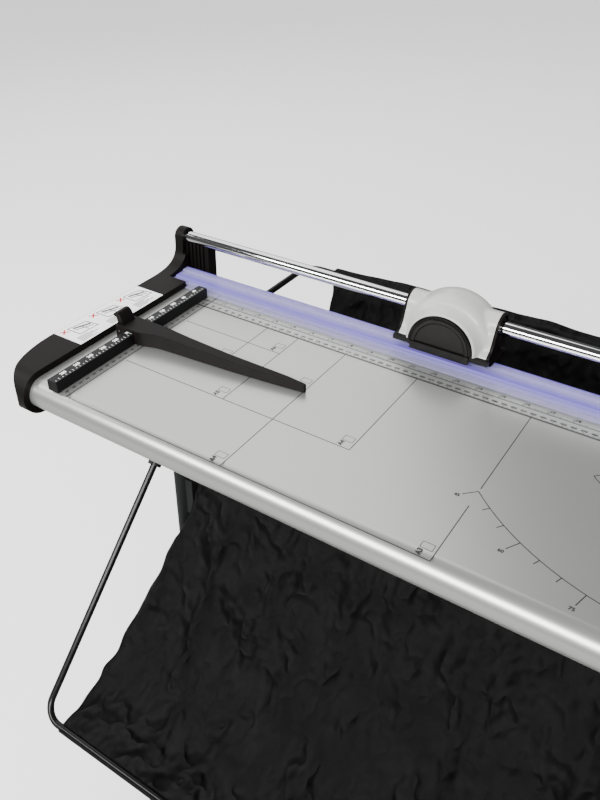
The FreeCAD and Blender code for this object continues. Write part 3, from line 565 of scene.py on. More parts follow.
# ------------------------------------------------------------------ settings
class TrimmerSettings(bpy.types.PropertyGroup):
    """Sizes and colours a user would change."""

    bed_colour: bpy.props.FloatVectorProperty(
        name="Bed", description="Anodised bed", subtype="COLOR", size=3, default=(0.46, 0.47, 0.445))
    plastic_colour: bpy.props.FloatVectorProperty(
        name="Plastic", description="Black plastic parts", subtype="COLOR", size=3, default=(0.0046, 0.0036, 0.0034))
    head_colour: bpy.props.FloatVectorProperty(
        name="Head", description="Cutting head's shell", subtype="COLOR", size=3, default=(0.36, 0.36, 0.348))
    strip_colour: bpy.props.FloatVectorProperty(
        name="Strip", description="Clear clamp strip", subtype="COLOR", size=3, default=(0.1, 0.07, 0.37))
    stand_colour: bpy.props.FloatVectorProperty(
        name="Stand", description="Stand's powder coat", subtype="COLOR", size=3, default=(0.007, 0.0075, 0.0074))
    cloth_colour: bpy.props.FloatVectorProperty(
        name="Cloth", description="Catch cloth", subtype="COLOR", size=3, default=(0.002, 0.0018, 0.0018))
    ink_colour: bpy.props.FloatVectorProperty(
        name="Ink", description="Printed scale and lines", subtype="COLOR", size=3, default=(0.016, 0.016, 0.017))
    thread_pitch: bpy.props.FloatProperty(
        name="Thread pitch", description="Nylon's thread spacing, mm", default=0.9, min=0.2)
    line_width: bpy.props.FloatProperty(
        name="Line width", description="Width of a format line, mm", default=0.95, min=0.1)
    edge_round: bpy.props.FloatProperty(
        name="Edge rounding", description="Rounding of moulded edges, mm", default=1.2, min=0.1)
    cloth_slack: bpy.props.FloatProperty(
        name="Cloth slack", description="Extra cloth between the bars", subtype="FACTOR", default=0.045,
        min=0.0, max=0.1)
    cloth_grid: bpy.props.FloatProperty(
        name="Cloth grid", description="Spacing of the draped grid, mm", default=10.0, min=4.0)


# ------------------------------------------------------------------ bed and prints
BED_SKIN = 4.0
BED_NOSE = 18.0
PRINT_T = 0.05             # thickness of printed ink
MM_LINE_Y = -66.0          # base line of the millimetre scale
INCH_LINE_Y = -51.8
INCH = 25.4
SIDE_LINE_X = 11.4         # base line of the depth scale beside the guide
GRID_LEFT = 15.0           # where the format lines start
# paper formats: short side, long side, and which of them stands along the cut
FORMATS = (
    ("A6", 105.0, 148.0), ("A6", 148.0, 105.0), ("A5", 148.0, 210.0), ("A5", 210.0, 148.0),
    ("A4", 210.0, 297.0), ("A4", 297.0, 210.0), ("A3", 420.0, 297.0),
)
PROTRACTOR = (MIDDLE_X - 2.0, -19.0)
PROTRACTOR_R = 252.0
PROTRACTOR_INNER_R = 143.0


def bed_section():
    nose_y = BED_LOW.y + BED_NOSE
    bottom = -2 * BED_NOSE
    under = -BED_SKIN
    outer = [(-3.0, 0.0)] + arc((nose_y, -BED_NOSE), BED_NOSE, 90, 270, 28)
    outer += [(nose_y + 25, bottom), (nose_y + 25, under)]
    for wall in (-228.0, -55.0):
        if wall > -100:
            outer += [(-190.0, under), (-190.0, -36.0), (-100.0, -36.0), (-100.0, under)]
        outer += [(wall, under), (wall, -23.0), (wall - 5, -23.0), (wall - 5, -26.0), (wall + 8, -26.0),
                  (wall + 8, -23.0), (wall + 3, -23.0), (wall + 3, under)]
    outer += [(-9.0, under), (-9.0, -30.0), (-3.0, -30.0)]
    nose_hollow = arc((nose_y, -BED_NOSE), BED_NOSE - 3, 90, 270, 20)
    nose_hollow += [(nose_y + 22, 3 + bottom), (nose_y + 22, -3.0)]
    box_hollow = [(-187.0, -33.0), (-103.0, -33.0), (-103.0, under), (-187.0, under)]
    return [outer, nose_hollow, box_hollow]


def stroke(bm, start, end, width, z=0.0, thick=PRINT_T):
    """Adds a printed line between two (x, y) points."""
    start, end = Vector(start), Vector(end)
    way = (end - start).normalized()
    side = Vector((-way.y, way.x)) * width / 2
    made = block(bm, (0, 0, 0), (1, 1, 1))
    for v in made:
        place = (start if v.co.x < 0.5 else end) + (side if v.co.y > 0.5 else -side)
        v.co = (place.x, place.y, z + (thick if v.co.z > 0.5 else 0))


def letters(bm, text, place, height, turn=0.0, z=0.0, thick=PRINT_T):
    """Adds printed letters centred on place."""
    drawn = bpy.data.curves.new("letters", "FONT")
    drawn.body = text
    drawn.size = height / 0.7
    drawn.align_x = "CENTER"
    drawn.align_y = "CENTER"
    drawn.resolution_u = 2
    drawn.extrude = thick / 2
    drawn.offset = height * 0.07
    holder = bpy.data.objects.new("letters", drawn)
    mesh = bpy.data.meshes.new_from_object(holder)
    mesh.transform(Matrix.Translation((*place, z + thick / 2)) @ Matrix.Rotation(math.radians(turn), 4, "Z"))
    bm.from_mesh(mesh)
    bpy.data.meshes.remove(mesh)
    bpy.data.objects.remove(holder)
    bpy.data.curves.remove(drawn)


def frame_mark(bm, low, high, width):
    """Adds a small printed rectangle."""
    corners = [low, (high[0], low[1]), high, (low[0], high[1])]
    for start, end in zip(corners, corners[1:] + corners[:1]):
        stroke(bm, start, end, width)


def millimetre_scale(bm):
    stroke(bm, (0, MM_LINE_Y), (CUT_LENGTH, MM_LINE_Y), 0.9)
    for mark in range(int(CUT_LENGTH) + 1):
        long = 4.6 if mark % 10 == 0 else 3.5 if mark % 5 == 0 else 2.4
        stroke(bm, (mark, MM_LINE_Y), (mark, MM_LINE_Y + long), 0.75)


def inch_scale(bm):
    sixteenths = int(CUT_LENGTH / INCH * 16)
    stroke(bm, (0, INCH_LINE_Y), (CUT_LENGTH, INCH_LINE_Y), 0.6)
    for mark in range(sixteenths + 1):
        x = mark * INCH / 16
        long = 6.0 if mark % 16 == 0 else 3.0 if mark % 8 == 0 else 2.2 if mark % 4 == 0 else 1.3
        stroke(bm, (x, INCH_LINE_Y), (x, INCH_LINE_Y + long), 0.8)


def scale_numbers(bm):
    for mark in range(10, int(CUT_LENGTH), 10):
        letters(bm, str(mark), (mark, MM_LINE_Y + 6.8), 3.0)
    for mark in range(1, int(CUT_LENGTH / INCH) + 1):
        letters(bm, str(mark), (mark * INCH + 3.4, INCH_LINE_Y + 5.6), 3.8)


def depth_scale(bm):
    """Scale beside the guide, from the front of the bed towards the cut."""
    stroke(bm, (SIDE_LINE_X, -298), (SIDE_LINE_X, -32), 0.8)
    for mark in range(30, 299):
        long = 4.2 if mark % 10 == 0 else 3.0 if mark % 5 == 0 else 1.8
        stroke(bm, (SIDE_LINE_X, -mark), (SIDE_LINE_X - long, -mark), 0.45)
    for mark in range(50, 299, 10):
        letters(bm, str(mark), (SIDE_LINE_X - 6.4, -mark), 2.2, 90)


def format_lines(bm):
    width = settings().line_width
    for x, front in ((105, 148), (148, 210), (210, 297), (297, 210)):
        stroke(bm, (x, MM_LINE_Y), (x, -front), width)
    stroke(bm, (420, MM_LINE_Y), (420, -193), width)
    stroke(bm, (420, -219), (420, -297), width)
    for y, right in ((105, 148), (148, 210), (210, 297), (297, 420)):
        stroke(bm, (GRID_LEFT, -y), (right, -y), width)
    for _, along, deep in FORMATS:
        frame_mark(bm, (along - 14, 18 - deep - 7.5), (along - 3, 18 - deep), 0.6)


def format_labels(bm):
    for name, along, deep in FORMATS:
        letters(bm, name, (along - 12, 5.5 - deep), 4.6, 90)


def protractor(bm):
    width = settings().line_width
    for radius in (PROTRACTOR_R, PROTRACTOR_INNER_R):
        steps = 45
        line = arc(PROTRACTOR, radius, 225, 315, steps)
        for start, end in zip(line, line[1:]):
            stroke(bm, start, end, width)
    for mark in range(45, 136, 5):
        turn = math.radians(180 + mark)
        way = Vector((math.cos(turn), math.sin(turn)))
        long = 15.0 if mark % 15 == 0 else 7.0
        centre = Vector(PROTRACTOR)
        if centre.y + way.y * (PROTRACTOR_R + long) > -297:
            stroke(bm, centre + way * PROTRACTOR_R, centre + way * (PROTRACTOR_R + long), width)
        stroke(bm, centre + way * PROTRACTOR_INNER_R, centre + way * (PROTRACTOR_INNER_R - 6), width)


def protractor_numbers(bm):
    centre = Vector(PROTRACTOR)
    for mark in range(45, 136, 15):
        turn = math.radians(180 + mark)
        place = centre + Vector((math.cos(turn), math.sin(turn))) * (PROTRACTOR_R + 20)
        if place.y > -290:
            letters(bm, str(mark), place, 3.6)
        place = centre + Vector((math.cos(turn), math.sin(turn))) * (PROTRACTOR_INNER_R - 11)
        letters(bm, str(mark), place, 3.0)


class TRIMMER_OT_bed(bpy.types.Operator):
    """Bed extrusion with its round nose, ribs and box section, and the bottom knife"""

    bl_idname = "trimmer.bed"
    bl_label = "Bed"

    def execute(self, context):
        bm = extruded(bed_section(), "X", BED_LOW.x, BED_HIGH.x)
        piece("bed_top", bm, satin_aluminium, replaces=["bed_extrusion"])
        paint("bottom_knife", "knife_screws")
        return {"FINISHED"}


class TRIMMER_OT_prints(bpy.types.Operator):
    """Millimetre, inch and depth scales, paper formats and protractor"""

    bl_idname = "trimmer.prints"
    bl_label = "Printed bed"

    def execute(self, context):
        prints = {
            "print_millimetres": [millimetre_scale],
            "print_inches": [inch_scale],
            "print_numbers": [scale_numbers],
            "print_depth_scale": [depth_scale],
            "print_formats": [format_lines, format_labels],
            "print_protractor": [protractor, protractor_numbers],
        }
        for name, makers in prints.items():
            bm = bmesh.new()
            for maker in makers:
                maker(bm)
            piece(name, bm, dark_ink, weighted=False)
        return {"FINISHED"}


# ------------------------------------------------------------------ ends and rail
LABEL_LOW, LABEL_HIGH = node_box("instruction_label")
LABEL_PANELS = 3


def label_print(bm, top, colour):
    """Adds the marks of one colour to the three picture panels of the label."""
    width = LABEL_HIGH.x - LABEL_LOW.x
    length = (LABEL_HIGH.y - LABEL_LOW.y) / LABEL_PANELS
    for panel in range(LABEL_PANELS):
        x0, y0 = LABEL_LOW.x, LABEL_LOW.y + panel * length

        def line(a, b, thick):
            start = (x0 + a[0] * width, y0 + a[1] * length)
            end = (x0 + b[0] * width, y0 + b[1] * length)
            stroke(bm, start, end, thick, top)

        if colour == "grey":
            corners = [(0.14, 0.32), (0.24, 0.86), (0.64, 0.93), (0.6, 0.34), (0.14, 0.32)]
            for a, b in zip(corners, corners[1:]):
                line(a, b, 1.3)
            line((0.24, 0.42), (0.42, 0.86), 3.2)
            line((0.34, 0.4), (0.54, 0.86), 1.5)
            line((0.3, 0.62), (0.58, 0.66), 1.2)
            for row in range(5):
                x = 0.7 + row * 0.055
                line((x, 0.14), (x, 0.5 + 0.13 * ((row + panel) % 3)), 1.1)
        else:
            line((0.1, 0.08), (0.28, 0.26), 2.0)
            line((0.28, 0.08), (0.1, 0.26), 2.0)


class TRIMMER_OT_ends(bpy.types.Operator):
    """End castings, rail supports, the chromed rail, its bolts and the film label"""

    bl_idname = "trimmer.ends"
    bl_label = "Ends and rail"

    def execute(self, context):
        round_width = settings().edge_round
        for side in ("left", "right"):
            softened("end_casting_" + side, "end_cover_" + side, round_width, 3)
            softened("rail_support_" + side, "rail_post_" + side, 0.4)
        bm = bmesh.new()
        tube(bm, (RAIL_LOW.x, RAIL_Y, RAIL_Z), (RAIL_HIGH.x, RAIL_Y, RAIL_Z), (RAIL_HIGH.z - RAIL_LOW.z) / 2, 64)
        rounded(bm, 0.4)
        piece("round_rail", bm, rail_chrome, replaces=["guide_rail"])
        paint("rail_bolts", "casting_bolts", "instruction_label")
        for colour, maker in (("grey", grey_ink), ("red", red_ink)):
            bm = bmesh.new()
            label_print(bm, LABEL_HIGH.z, colour)
            piece("label_pictures_" + colour, bm, maker, weighted=False)
        return {"FINISHED"}


# ------------------------------------------------------------------ clear strip
STRIP_LOW, STRIP_HIGH = node_box("clamp_strip")


def strip_outline():
    """Front flange, low ridge, flat middle with fine ridges, and the raised rear."""
    z = STRIP_LOW.z
    ridges = []
    for i in range(4):
        y = -27.0 + i * 3.0
        lift = 4.25 + i * 0.1
        ridges += [(y, z + lift), (y + 0.7, z + lift + 0.45), (y + 1.4, z + lift + 0.03)]
    outline = [
        (STRIP_LOW.y, z), (STRIP_LOW.y, z + 0.7), (-42.5, z + 1.0), (-36.0, z + 1.5), (-32.2, z + 1.7),
        (-31.2, z + 2.9), (-30.4, z + 3.1), (-29.4, z + 2.9), (-28.6, z + 2.3),
    ]
    outline += ridges + [(-14.5, z + 4.7), (-13.5, z + 5.4), (-12.5, z + 6.7)]
    for y in (-10.8, -8.2, -5.6):
        outline += [(y - 0.6, z + 6.75), (y, z + 6.35), (y + 0.6, z + 6.75)]
    outline += [(-3.4, z + 6.8), (-3.0, z + 6.4), (-3.0, z)]
    hollow = [
        (-24.5, z + 1.6), (-24.5, z + 2.6), (-14.0, z + 3.0), (-11.5, z + 5.4), (-4.6, z + 5.4), (-4.6, z + 1.6),
    ]
    return [outline, hollow]


class TRIMMER_OT_strip(bpy.types.Operator):
    """Clear clamp strip and the leaf springs under it"""

    bl_idname = "trimmer.strip"
    bl_label = "Clear strip"

    def execute(self, context):
        bm = extruded(strip_outline(), "X", STRIP_LOW.x, STRIP_HIGH.x)
        # the front flange stops short of the castings
        inside = (BED_LOW.x + 2, BED_HIGH.x - 2)
        for end, way in zip(inside, (-1, 1)):
            cutter = bmesh.new()
            outer = STRIP_LOW.x - 1 if way < 0 else STRIP_HIGH.x + 1
            block(cutter, (min(end, outer), STRIP_LOW.y - 1, STRIP_LOW.z - 1), (max(end, outer), -36.0, STRIP_LOW.z + 4))
            bm = carved(bm, cutter)
        piece("clear_strip", bm, violet_clear, "clamp", ["clamp_strip"], angle=50)
        paint("strip_springs")
        return {"FINISHED"}


def carved(bm, cutter, operation="DIFFERENCE"):
    """bm with the cutter taken away, by an exact boolean."""
    pair = []
    for source in (bm, cutter):
        mesh = bpy.data.meshes.new("carving")
        source.to_mesh(mesh)
        source.free()
        made = bpy.data.objects.new("carving", mesh)
        bpy.context.scene.collection.objects.link(made)
        pair.append(made)
    body, tool = pair
    step = body.modifiers.new("carve", "BOOLEAN")
    step.object = tool
    step.operation = operation
    step.solver = "EXACT"
    return evaluated(body, tool)


def evaluated(body, *helpers):
    """The object's mesh with its modifiers, as a bmesh. The object and its helpers go."""
    graph = bpy.context.evaluated_depsgraph_get()
    mesh = bpy.data.meshes.new_from_object(body.evaluated_get(graph))
    bm = bmesh.new()
    bm.from_mesh(mesh)
    bpy.data.meshes.remove(mesh)
    for used in (body, *helpers):
        data = used.data
        bpy.data.objects.remove(used)
        bpy.data.meshes.remove(data)
    return bm


# ------------------------------------------------------------------ guides and backstop
GUIDE_LOW, GUIDE_HIGH = node_box("guide_bar_left")
STOP_LOW, STOP_HIGH = node_box("backstop_arm")
LEVER_LOW, LEVER_HIGH = node_box("lock_lever")
PIN_LOW, PIN_HIGH = node_box("lever_pin")


def guide_bar(side):
    """Square bar with chamfered top edges and a clamp groove in its outer side."""
    outline = [(-14.0, 0.0), (-14.0, 12.0), (-13.0, 13.0), (-1.0, 13.0), (0.0, 12.0), (0.0, 0.0)]
    bm = extruded([outline], "Y", GUIDE_LOW.y, GUIDE_HIGH.y)
    rounded(bm, 0.35)
    groove = bmesh.new()
    block(groove, (-15.0, GUIDE_LOW.y + 8, 4.0), (-11.0, GUIDE_HIGH.y - 8, 8.0))
    bm = carved(bm, groove)
    if side == "right":
        bmesh.ops.scale(bm, vec=(-1, 1, 1), verts=bm.verts)
        bmesh.ops.translate(bm, vec=(CUT_LENGTH, 0, 0), verts=bm.verts)
        bmesh.ops.recalc_face_normals(bm, faces=bm.faces)
    return bm


def guide_marks(bm, side):
    """White scale and numbers on top of a guide bar."""
    centre = -7.0 if side == "left" else CUT_LENGTH + 7.0
    top = GUIDE_HIGH.z
    inner = centre + (4.4 if side == "left" else -4.4)
    way = -1 if side == "left" else 1
    for mark in range(50, 296, 5):
        long = 3.2 if mark % 10 == 0 else 1.8
        stroke(bm, (inner, -mark), (inner + way * long, -mark), 0.45, top)
    for mark in range(60, 291, 20):
        letters(bm, str(mark), (centre - 1.6, -mark), 3.6, 90, top)


ARM_SLOPE_X = 33.0         # where the arm's top starts to fall
ARM_FALL = 8.5


def backstop():
    """Block that rides the guide bar, and its arm that narrows and thins towards the tip."""
    plan = [(-28.0, -152.6), (-28.0, -179.4), (4.0, -180.0)]
    plan += curve([(10.0, -179.0), (17.0, -176.6), (27.0, -173.4), (42.0, -171.6)], 5)
    plan += [(80.0, -168.7), (123.0, -165.4), (168.0, -160.8)]
    plan += arc((210.5, -153.2), 2.4, -78, 78, 6)
    plan += [(190.0, -150.0), (115.0, -153.6), (60.0, -153.9), (14.0, -152.3)]
    bm = extruded([plan], "Z", STOP_LOW.z, STOP_HIGH.z)
    bmesh.ops.dissolve_limit(bm, angle_limit=0.001, verts=bm.verts, edges=bm.edges)
    # the top slopes from one cross cut to the tip
    bmesh.ops.bisect_plane(bm, geom=bm.verts[:] + bm.edges[:] + bm.faces[:], plane_co=(ARM_SLOPE_X, 0, 0),
                           plane_no=(1, 0, 0))
    for v in bm.verts:
        if v.co.z > 10 and v.co.x > ARM_SLOPE_X:
            v.co.z = STOP_HIGH.z - (v.co.x - ARM_SLOPE_X) / (STOP_HIGH.x - ARM_SLOPE_X) * ARM_FALL
    rounded(bm, 0.8, 3)
    gap = 0.25
    guide_way = bmesh.new()
    block(guide_way, (GUIDE_LOW.x - gap, -200, -1), (GUIDE_HIGH.x + gap, -140, GUIDE_HIGH.z + gap))
    bm = carved(bm, guide_way)
    slot = bmesh.new()
    block(slot, (-30, LEVER_LOW.y - 0.4, 3.0), (-16.5, LEVER_HIGH.y + 0.4, 30))
    return carved(bm, slot)


def lever():
    """Cam with a paddle that curls outwards at its top."""
    pivot = ((PIN_LOW.x + PIN_HIGH.x) / 2, (PIN_LOW.z + PIN_HIGH.z) / 2)
    side = arc(pivot, 4.6, 170, 370, 14)
    side += [(-18.2, 16.0), (-19.0, 21.0), (-20.5, 25.6), (-22.6, 28.8), (-25.6, 30.6)]
    side += [(-29.2, 30.4), (-31.6, 29.0), (-32.3, 27.2), (-31.2, 25.8), (-28.9, 25.3), (-27.6, 23.6)]
    side += [(-26.8, 20.0), (-26.4, 15.0)]
    bm = extruded([side], "Y", LEVER_LOW.y, LEVER_HIGH.y)

    rounded(bm, 1.4, 3, 28.0, lambda a, b: abs(a.y - b.y) < 0.1 and a.z > 15.5)
    return bm


class TRIMMER_OT_guides(bpy.types.Operator):
    """Side guide bars with their white scales"""

    bl_idname = "trimmer.guides"
    bl_label = "Guide bars"

    def execute(self, context):
        for side in ("left", "right"):
            piece("side_guide_" + side, guide_bar(side), black_anodised,
                  replaces=["guide_bar_" + side])
            bm = bmesh.new()
            guide_marks(bm, side)
            piece("guide_scale_" + side, bm, white_ink, weighted=False)
        paint("guide_screws")
        return {"FINISHED"}


class TRIMMER_OT_backstop(bpy.types.Operator):
    """Backstop arm with its lock lever"""

    bl_idname = "trimmer.backstop"
    bl_label = "Backstop"

    def execute(self, context):
        piece("stop_arm", backstop(), black_plastic, "backstop", ["backstop_arm"])
        piece("cam_lever", lever(), black_plastic, "lever", ["lock_lever"])
        paint("clamp_shoe", "lever_pin")
        return {"FINISHED"}


# ------------------------------------------------------------------ carriage
BLADE_AXIS = Vector((CARRIAGE_X, 0.0, BLADE_Z))
SHELL_LOW, SHELL_HIGH = node_box("head_housing")
GUARD_LOW, GUARD_HIGH = node_box("blade_guard")
GUARD_R = GUARD_HIGH.z - BLADE_Z
SHELL_WALL = 2.2
SHELL_GRAIN = 1.0          # spacing of the shell's mesh
RIM_INSET = 0.3
RIM_WALL = 2.3
RIM_OUT = 3.0


def shell_solid():
    """Dome over the blade, arch over the rail and the feet beside the guard, as closed bodies."""
    bm = bmesh.new()
    dome = [
        (0.1, -25.5), (39.5, -25.5), (40.8, -20.5), (43.0, -15.5), (44.6, -13.0), (48.8, -10.4), (51.0, -5.5),
        (52.0, 1.0), (52.3, 14.0), (51.5, 21.0), (48.6, 28.0), (42.0, 33.2), (30.0, 34.2), (0.1, 34.2),
    ]
    turned = spun(dome, BLADE_AXIS, (0, 1, 0), 72)
    mesh = bpy.data.meshes.new("dome")
    turned.to_mesh(mesh)
    turned.free()
    bm.from_mesh(mesh)
    bpy.data.meshes.remove(mesh)
    over = SHELL_HIGH.x - CARRIAGE_X + 8
    left, right = CARRIAGE_X - over, CARRIAGE_X + over
    saddle_r = 16.2
    arch = arc((RAIL_Y, RAIL_Z), saddle_r, 0, 180, 32)
    arch += [(RAIL_Y - saddle_r, 3.0), (RAIL_Y + saddle_r, 3.0)]
    extruded([arch], "X", left, right, bm)
    feet = [(4.0, 3.0), (-22.0, 3.0), (-22.0, 15.0), (-19.5, 20.5), (-14.0, 24.5), (-10.5, 31.0), (-7.5, 43.0), (4.0, 46.0)]
    extruded([feet], "X", left, right, bm)
    bmesh.ops.recalc_face_normals(bm, faces=bm.faces)
    return bm


def head_shell():
    """The closed bodies melted into one skin, trimmed, hollowed and opened for the guard."""
    mesh = bpy.data.meshes.new("shell")
    solid = shell_solid()
    solid.to_mesh(mesh)
    solid.free()
    body = bpy.data.objects.new("shell", mesh)
    bpy.context.scene.collection.objects.link(body)
    melt = body.modifiers.new("melt", "REMESH")
    melt.mode = "VOXEL"
    melt.voxel_size = SHELL_GRAIN
    bm = evaluated(body)
    for _ in range(14):
        bmesh.ops.smooth_vert(bm, verts=bm.verts, factor=0.5, use_axis_x=True, use_axis_y=True, use_axis_z=True)
    cuts = [
        ((SHELL_LOW.x, 0, 0), (-1, 0, 0)), ((SHELL_HIGH.x, 0, 0), (1, 0, 0)),
        ((0, 0, SHELL_LOW.z), (0, 0, -1)),
    ]
    for place, way in cuts:
        bmesh.ops.bisect_plane(bm, geom=bm.verts[:] + bm.edges[:] + bm.faces[:], plane_co=place, plane_no=way,
                               clear_outer=True)
    bmesh.ops.recalc_face_normals(bm, faces=bm.faces)
    end_line = shell_end(bm)
    bmesh.ops.solidify(bm, geom=bm.faces, thickness=SHELL_WALL)
    bmesh.ops.recalc_face_normals(bm, faces=bm.faces)
    clear = GUARD_R + 0.4
    opening = arc((CARRIAGE_X, BLADE_Z), clear, 0, 180, 72)
    opening += [(CARRIAGE_X - clear, 0.0), (CARRIAGE_X + clear, 0.0)]
    cutter = extruded([opening], "Y", -40.0, -8.0)
    return carved(bm, cutter), end_line


def shell_end(bm):
    """(y, z) line of the trimmed skin's right edge, from one foot over to the other."""
    edges = [e for e in bm.edges if e.is_boundary and min(v.co.x for v in e.verts) > SHELL_HIGH.x - 0.01]
    links = {}
    for edge in edges:
        a, b = edge.verts
        links.setdefault(a, []).append(b)
        links.setdefault(b, []).append(a)
    at = min((v for v in links if len(links[v]) == 1), key=lambda v: v.co.y)
    line, seen = [], set()
    while at:
        line.append((at.co.y, at.co.z))
        seen.add(at)
        at = next((v for v in links[at] if v not in seen), None)
    return line[::3] + line[-1:]


def end_rim(line, side):
    """Black rim that closes the shell's end: the end line drawn out, with a wall inwards."""
    outer = [Vector(p) for p in line]
    ways = [outer[1] - outer[0]] + [b - a for a, b in zip(outer, outer[2:])] + [outer[-1] - outer[-2]]
    inward = [Vector((way.y, -way.x)).normalized() for way in ways]
    ring = [tuple(p + n * RIM_INSET) for p, n in zip(outer, inward)]
    ring += [tuple(p + n * (RIM_INSET + RIM_WALL)) for p, n in reversed(list(zip(outer, inward)))]
    start, end = (SHELL_HIGH.x - 0.4, SHELL_HIGH.x + RIM_OUT)
    if side == "left":
        start, end = (SHELL_LOW.x - RIM_OUT, SHELL_LOW.x + 0.4)
    bm = rounded(extruded([ring], "X", start, end), 0.3, 1, 50)
    # wall in front of the runner
    front = [tuple(p + n * RIM_INSET) for p, n in zip(outer, inward) if p.x < RUNNER_LOW.y - 1.5]
    front += [(front[-1][0], front[0][1])]
    wall = (start + 0.5, start + 1.7) if side == "right" else (end - 1.7, end - 0.5)
    return extruded([front], "X", *wall, bm)


def bush_cap(side):
    """Black ring on the runner's end, over the bush."""
    profile = [(8.1, 0.0), (10.8, 0.0), (10.8, 1.0), (8.1, 1.0)]
    bm = bmesh.new()
    start = RUNNER_HIGH.x if side == "right" else RUNNER_LOW.x - 1.0
    rings = [[bm.verts.new((start + x, RAIL_Y + r * math.cos(t), RAIL_Z + r * math.sin(t))) for r, x in profile]
             for t in [2 * math.pi * i / 40 for i in range(40)]]
    for one, two in zip(rings, rings[1:] + rings[:1]):
        for i in range(4):
            bm.faces.new((one[i], one[(i + 1) % 4], two[(i + 1) % 4], two[i]))
    bmesh.ops.recalc_face_normals(bm, faces=bm.faces)
    return bm


def guard_bar():
    """Straight bar across the front, under the shell's feet."""
    bm = bmesh.new()
    block(bm, (SHELL_LOW.x - 4.5, GUARD_LOW.y + 2.6, SHELL_LOW.z - 0.4), (SHELL_HIGH.x + 4.5, GUARD_LOW.y + 8.0, BLADE_Z + 0.2))
    return rounded(bm, 0.5)


def guard_cup():
    """Half-round cover: rounded rim, raised ring and sunk face, with a flat bottom."""
    front = GUARD_LOW.y + 1.0
    back = GUARD_HIGH.y
    rim = GUARD_R
    profile = [
        (0.05, front + 1.3), (27.6, front + 1.3), (28.4, front + 1.1), (29.0, front + 0.3), (29.8, front + 0.1),
        (32.6, front + 0.1), (33.2, front + 0.7), (33.9, front + 0.8), (34.5, front + 0.2), (35.6, front),
        (36.4, front + 0.35), (rim, front + 1.3), (rim, back), (rim - 2.2, back), (rim - 2.2, front + 4.0),
        (0.05, front + 4.0),
    ]
    bm = bmesh.new()
    ring = [bm.verts.new((CARRIAGE_X + r, y, BLADE_Z)) for r, y in profile]
    bm.faces.new(ring)
    bmesh.ops.spin(bm, geom=bm.verts[:] + bm.edges[:] + bm.faces[:], cent=BLADE_AXIS, axis=(0, -1, 0),
                   angle=math.pi, steps=56, use_merge=False)
    bmesh.ops.remove_doubles(bm, verts=bm.verts, dist=0.06)
    bmesh.ops.recalc_face_normals(bm, faces=bm.faces)
    return bm


def guard_skirt():
    """Straight cover below the guard's half disc, with its thin ledge."""
    half = (GUARD_HIGH.x - GUARD_LOW.x) / 2 - 3
    front = GUARD_LOW.y + 1.0
    outline = [
        (front, GUARD_LOW.z), (front, BLADE_Z - 1.2), (front - 1.0, BLADE_Z - 1.0), (front - 1.0, BLADE_Z + 0.2),
        (front + 2.2, BLADE_Z + 0.2), (front + 2.2, GUARD_LOW.z),
    ]
    bm = extruded([outline], "X", CARRIAGE_X - half, CARRIAGE_X + half)
    return rounded(bm, 0.3)


class TRIMMER_OT_carriage(bpy.types.Operator):
    """What runs on the rail: runner block, bushes, base plate, posts and springs"""

    bl_idname = "trimmer.carriage"
    bl_label = "Carriage"

    def execute(self, context):
        softened("runner_block", "runner", 0.6, body="runner")
        softened("base_plate", "foot_plate", 0.4, body="runner")
        for side in ("left", "right"):
            piece("bush_cap_" + side, bush_cap(side), black_plastic, "runner")
        paint("rail_bushes", "base_screws", "guide_posts", "head_springs")
        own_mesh(frame["nodes"]["head_springs"])
        return {"FINISHED"}


class TRIMMER_OT_head(bpy.types.Operator):
    """Cutting head: grey shell, black guard, blade holder, axle and blade"""

    bl_idname = "trimmer.head"
    bl_label = "Cutting head"

    def execute(self, context):
        shell, end_line = head_shell()
        piece("head_shell", shell, head_plastic, "head", ["head_housing"], 40)
        for side in ("left", "right"):
            piece("shell_rim_" + side, end_rim(end_line, side), black_plastic, "head")
        piece("guard_cup", guard_cup(), guard_plastic, "head", ["blade_guard"], 24)
        piece("guard_bar", guard_bar(), guard_plastic, "head")
        piece("guard_skirt", guard_skirt(), guard_plastic, "head")
        softened("blade_holder", "holder_plate", 0.4, body="head")
        paint("blade_axle", "axle_nut", "blade_hub", "rotary_blade", "hub_ring")
        return {"FINISHED"}


# ------------------------------------------------------------------ stand
class TRIMMER_OT_stand(bpy.types.Operator):
    """Columns, brackets, feet, cross tube and the sockets for the cloth's rods"""

    bl_idname = "trimmer.stand"
    bl_label = "Stand"

    def execute(self, context):
        for side in ("left", "right"):
            softened("top_bracket_" + side, "bed_bracket_" + side, 0.6)
            softened("rod_bracket_" + side, "rod_socket_" + side, 0.6)
            softened("cross_bracket_" + side, "tube_saddle_" + side, 0.8)
            paint("column_" + side, "foot_" + side)
        paint("foot_caps", "foot_pads", "cross_tube", "bracket_bolts", "set_screws")
        return {"FINISHED"}


# ------------------------------------------------------------------ cloth and its rods
REAR_LOW, REAR_HIGH = node_box("rear_rod")
FRONT_LOW, FRONT_HIGH = node_box("front_rod")
CLOTH_LOW, CLOTH_HIGH = node_box("catch_cloth")
TUBE_LOW, TUBE_HIGH = node_box("cross_tube")
ROD_R = (REAR_HIGH.z - REAR_LOW.z) / 2
REAR_BAR = (REAR_HIGH.y - ROD_R, REAR_HIGH.z - ROD_R)
FRONT_BAR = (FRONT_LOW.y + ROD_R, FRONT_LOW.z + ROD_R)
LOOP_R = ROD_R + 1.7       # the cloth's loop round a bar
WAIST_EDGE = 62.0          # side edge between the columns
REAR_EDGE = 36.0           # side edge along the rear bar
FRONT_EDGE = 22.0          # side edge in front of the columns
CLOTH_T = 0.5
TUBE_TOP = ((TUBE_LOW.y + TUBE_HIGH.y) / 2, TUBE_HIGH.z)
DRAPE_STEPS = 34


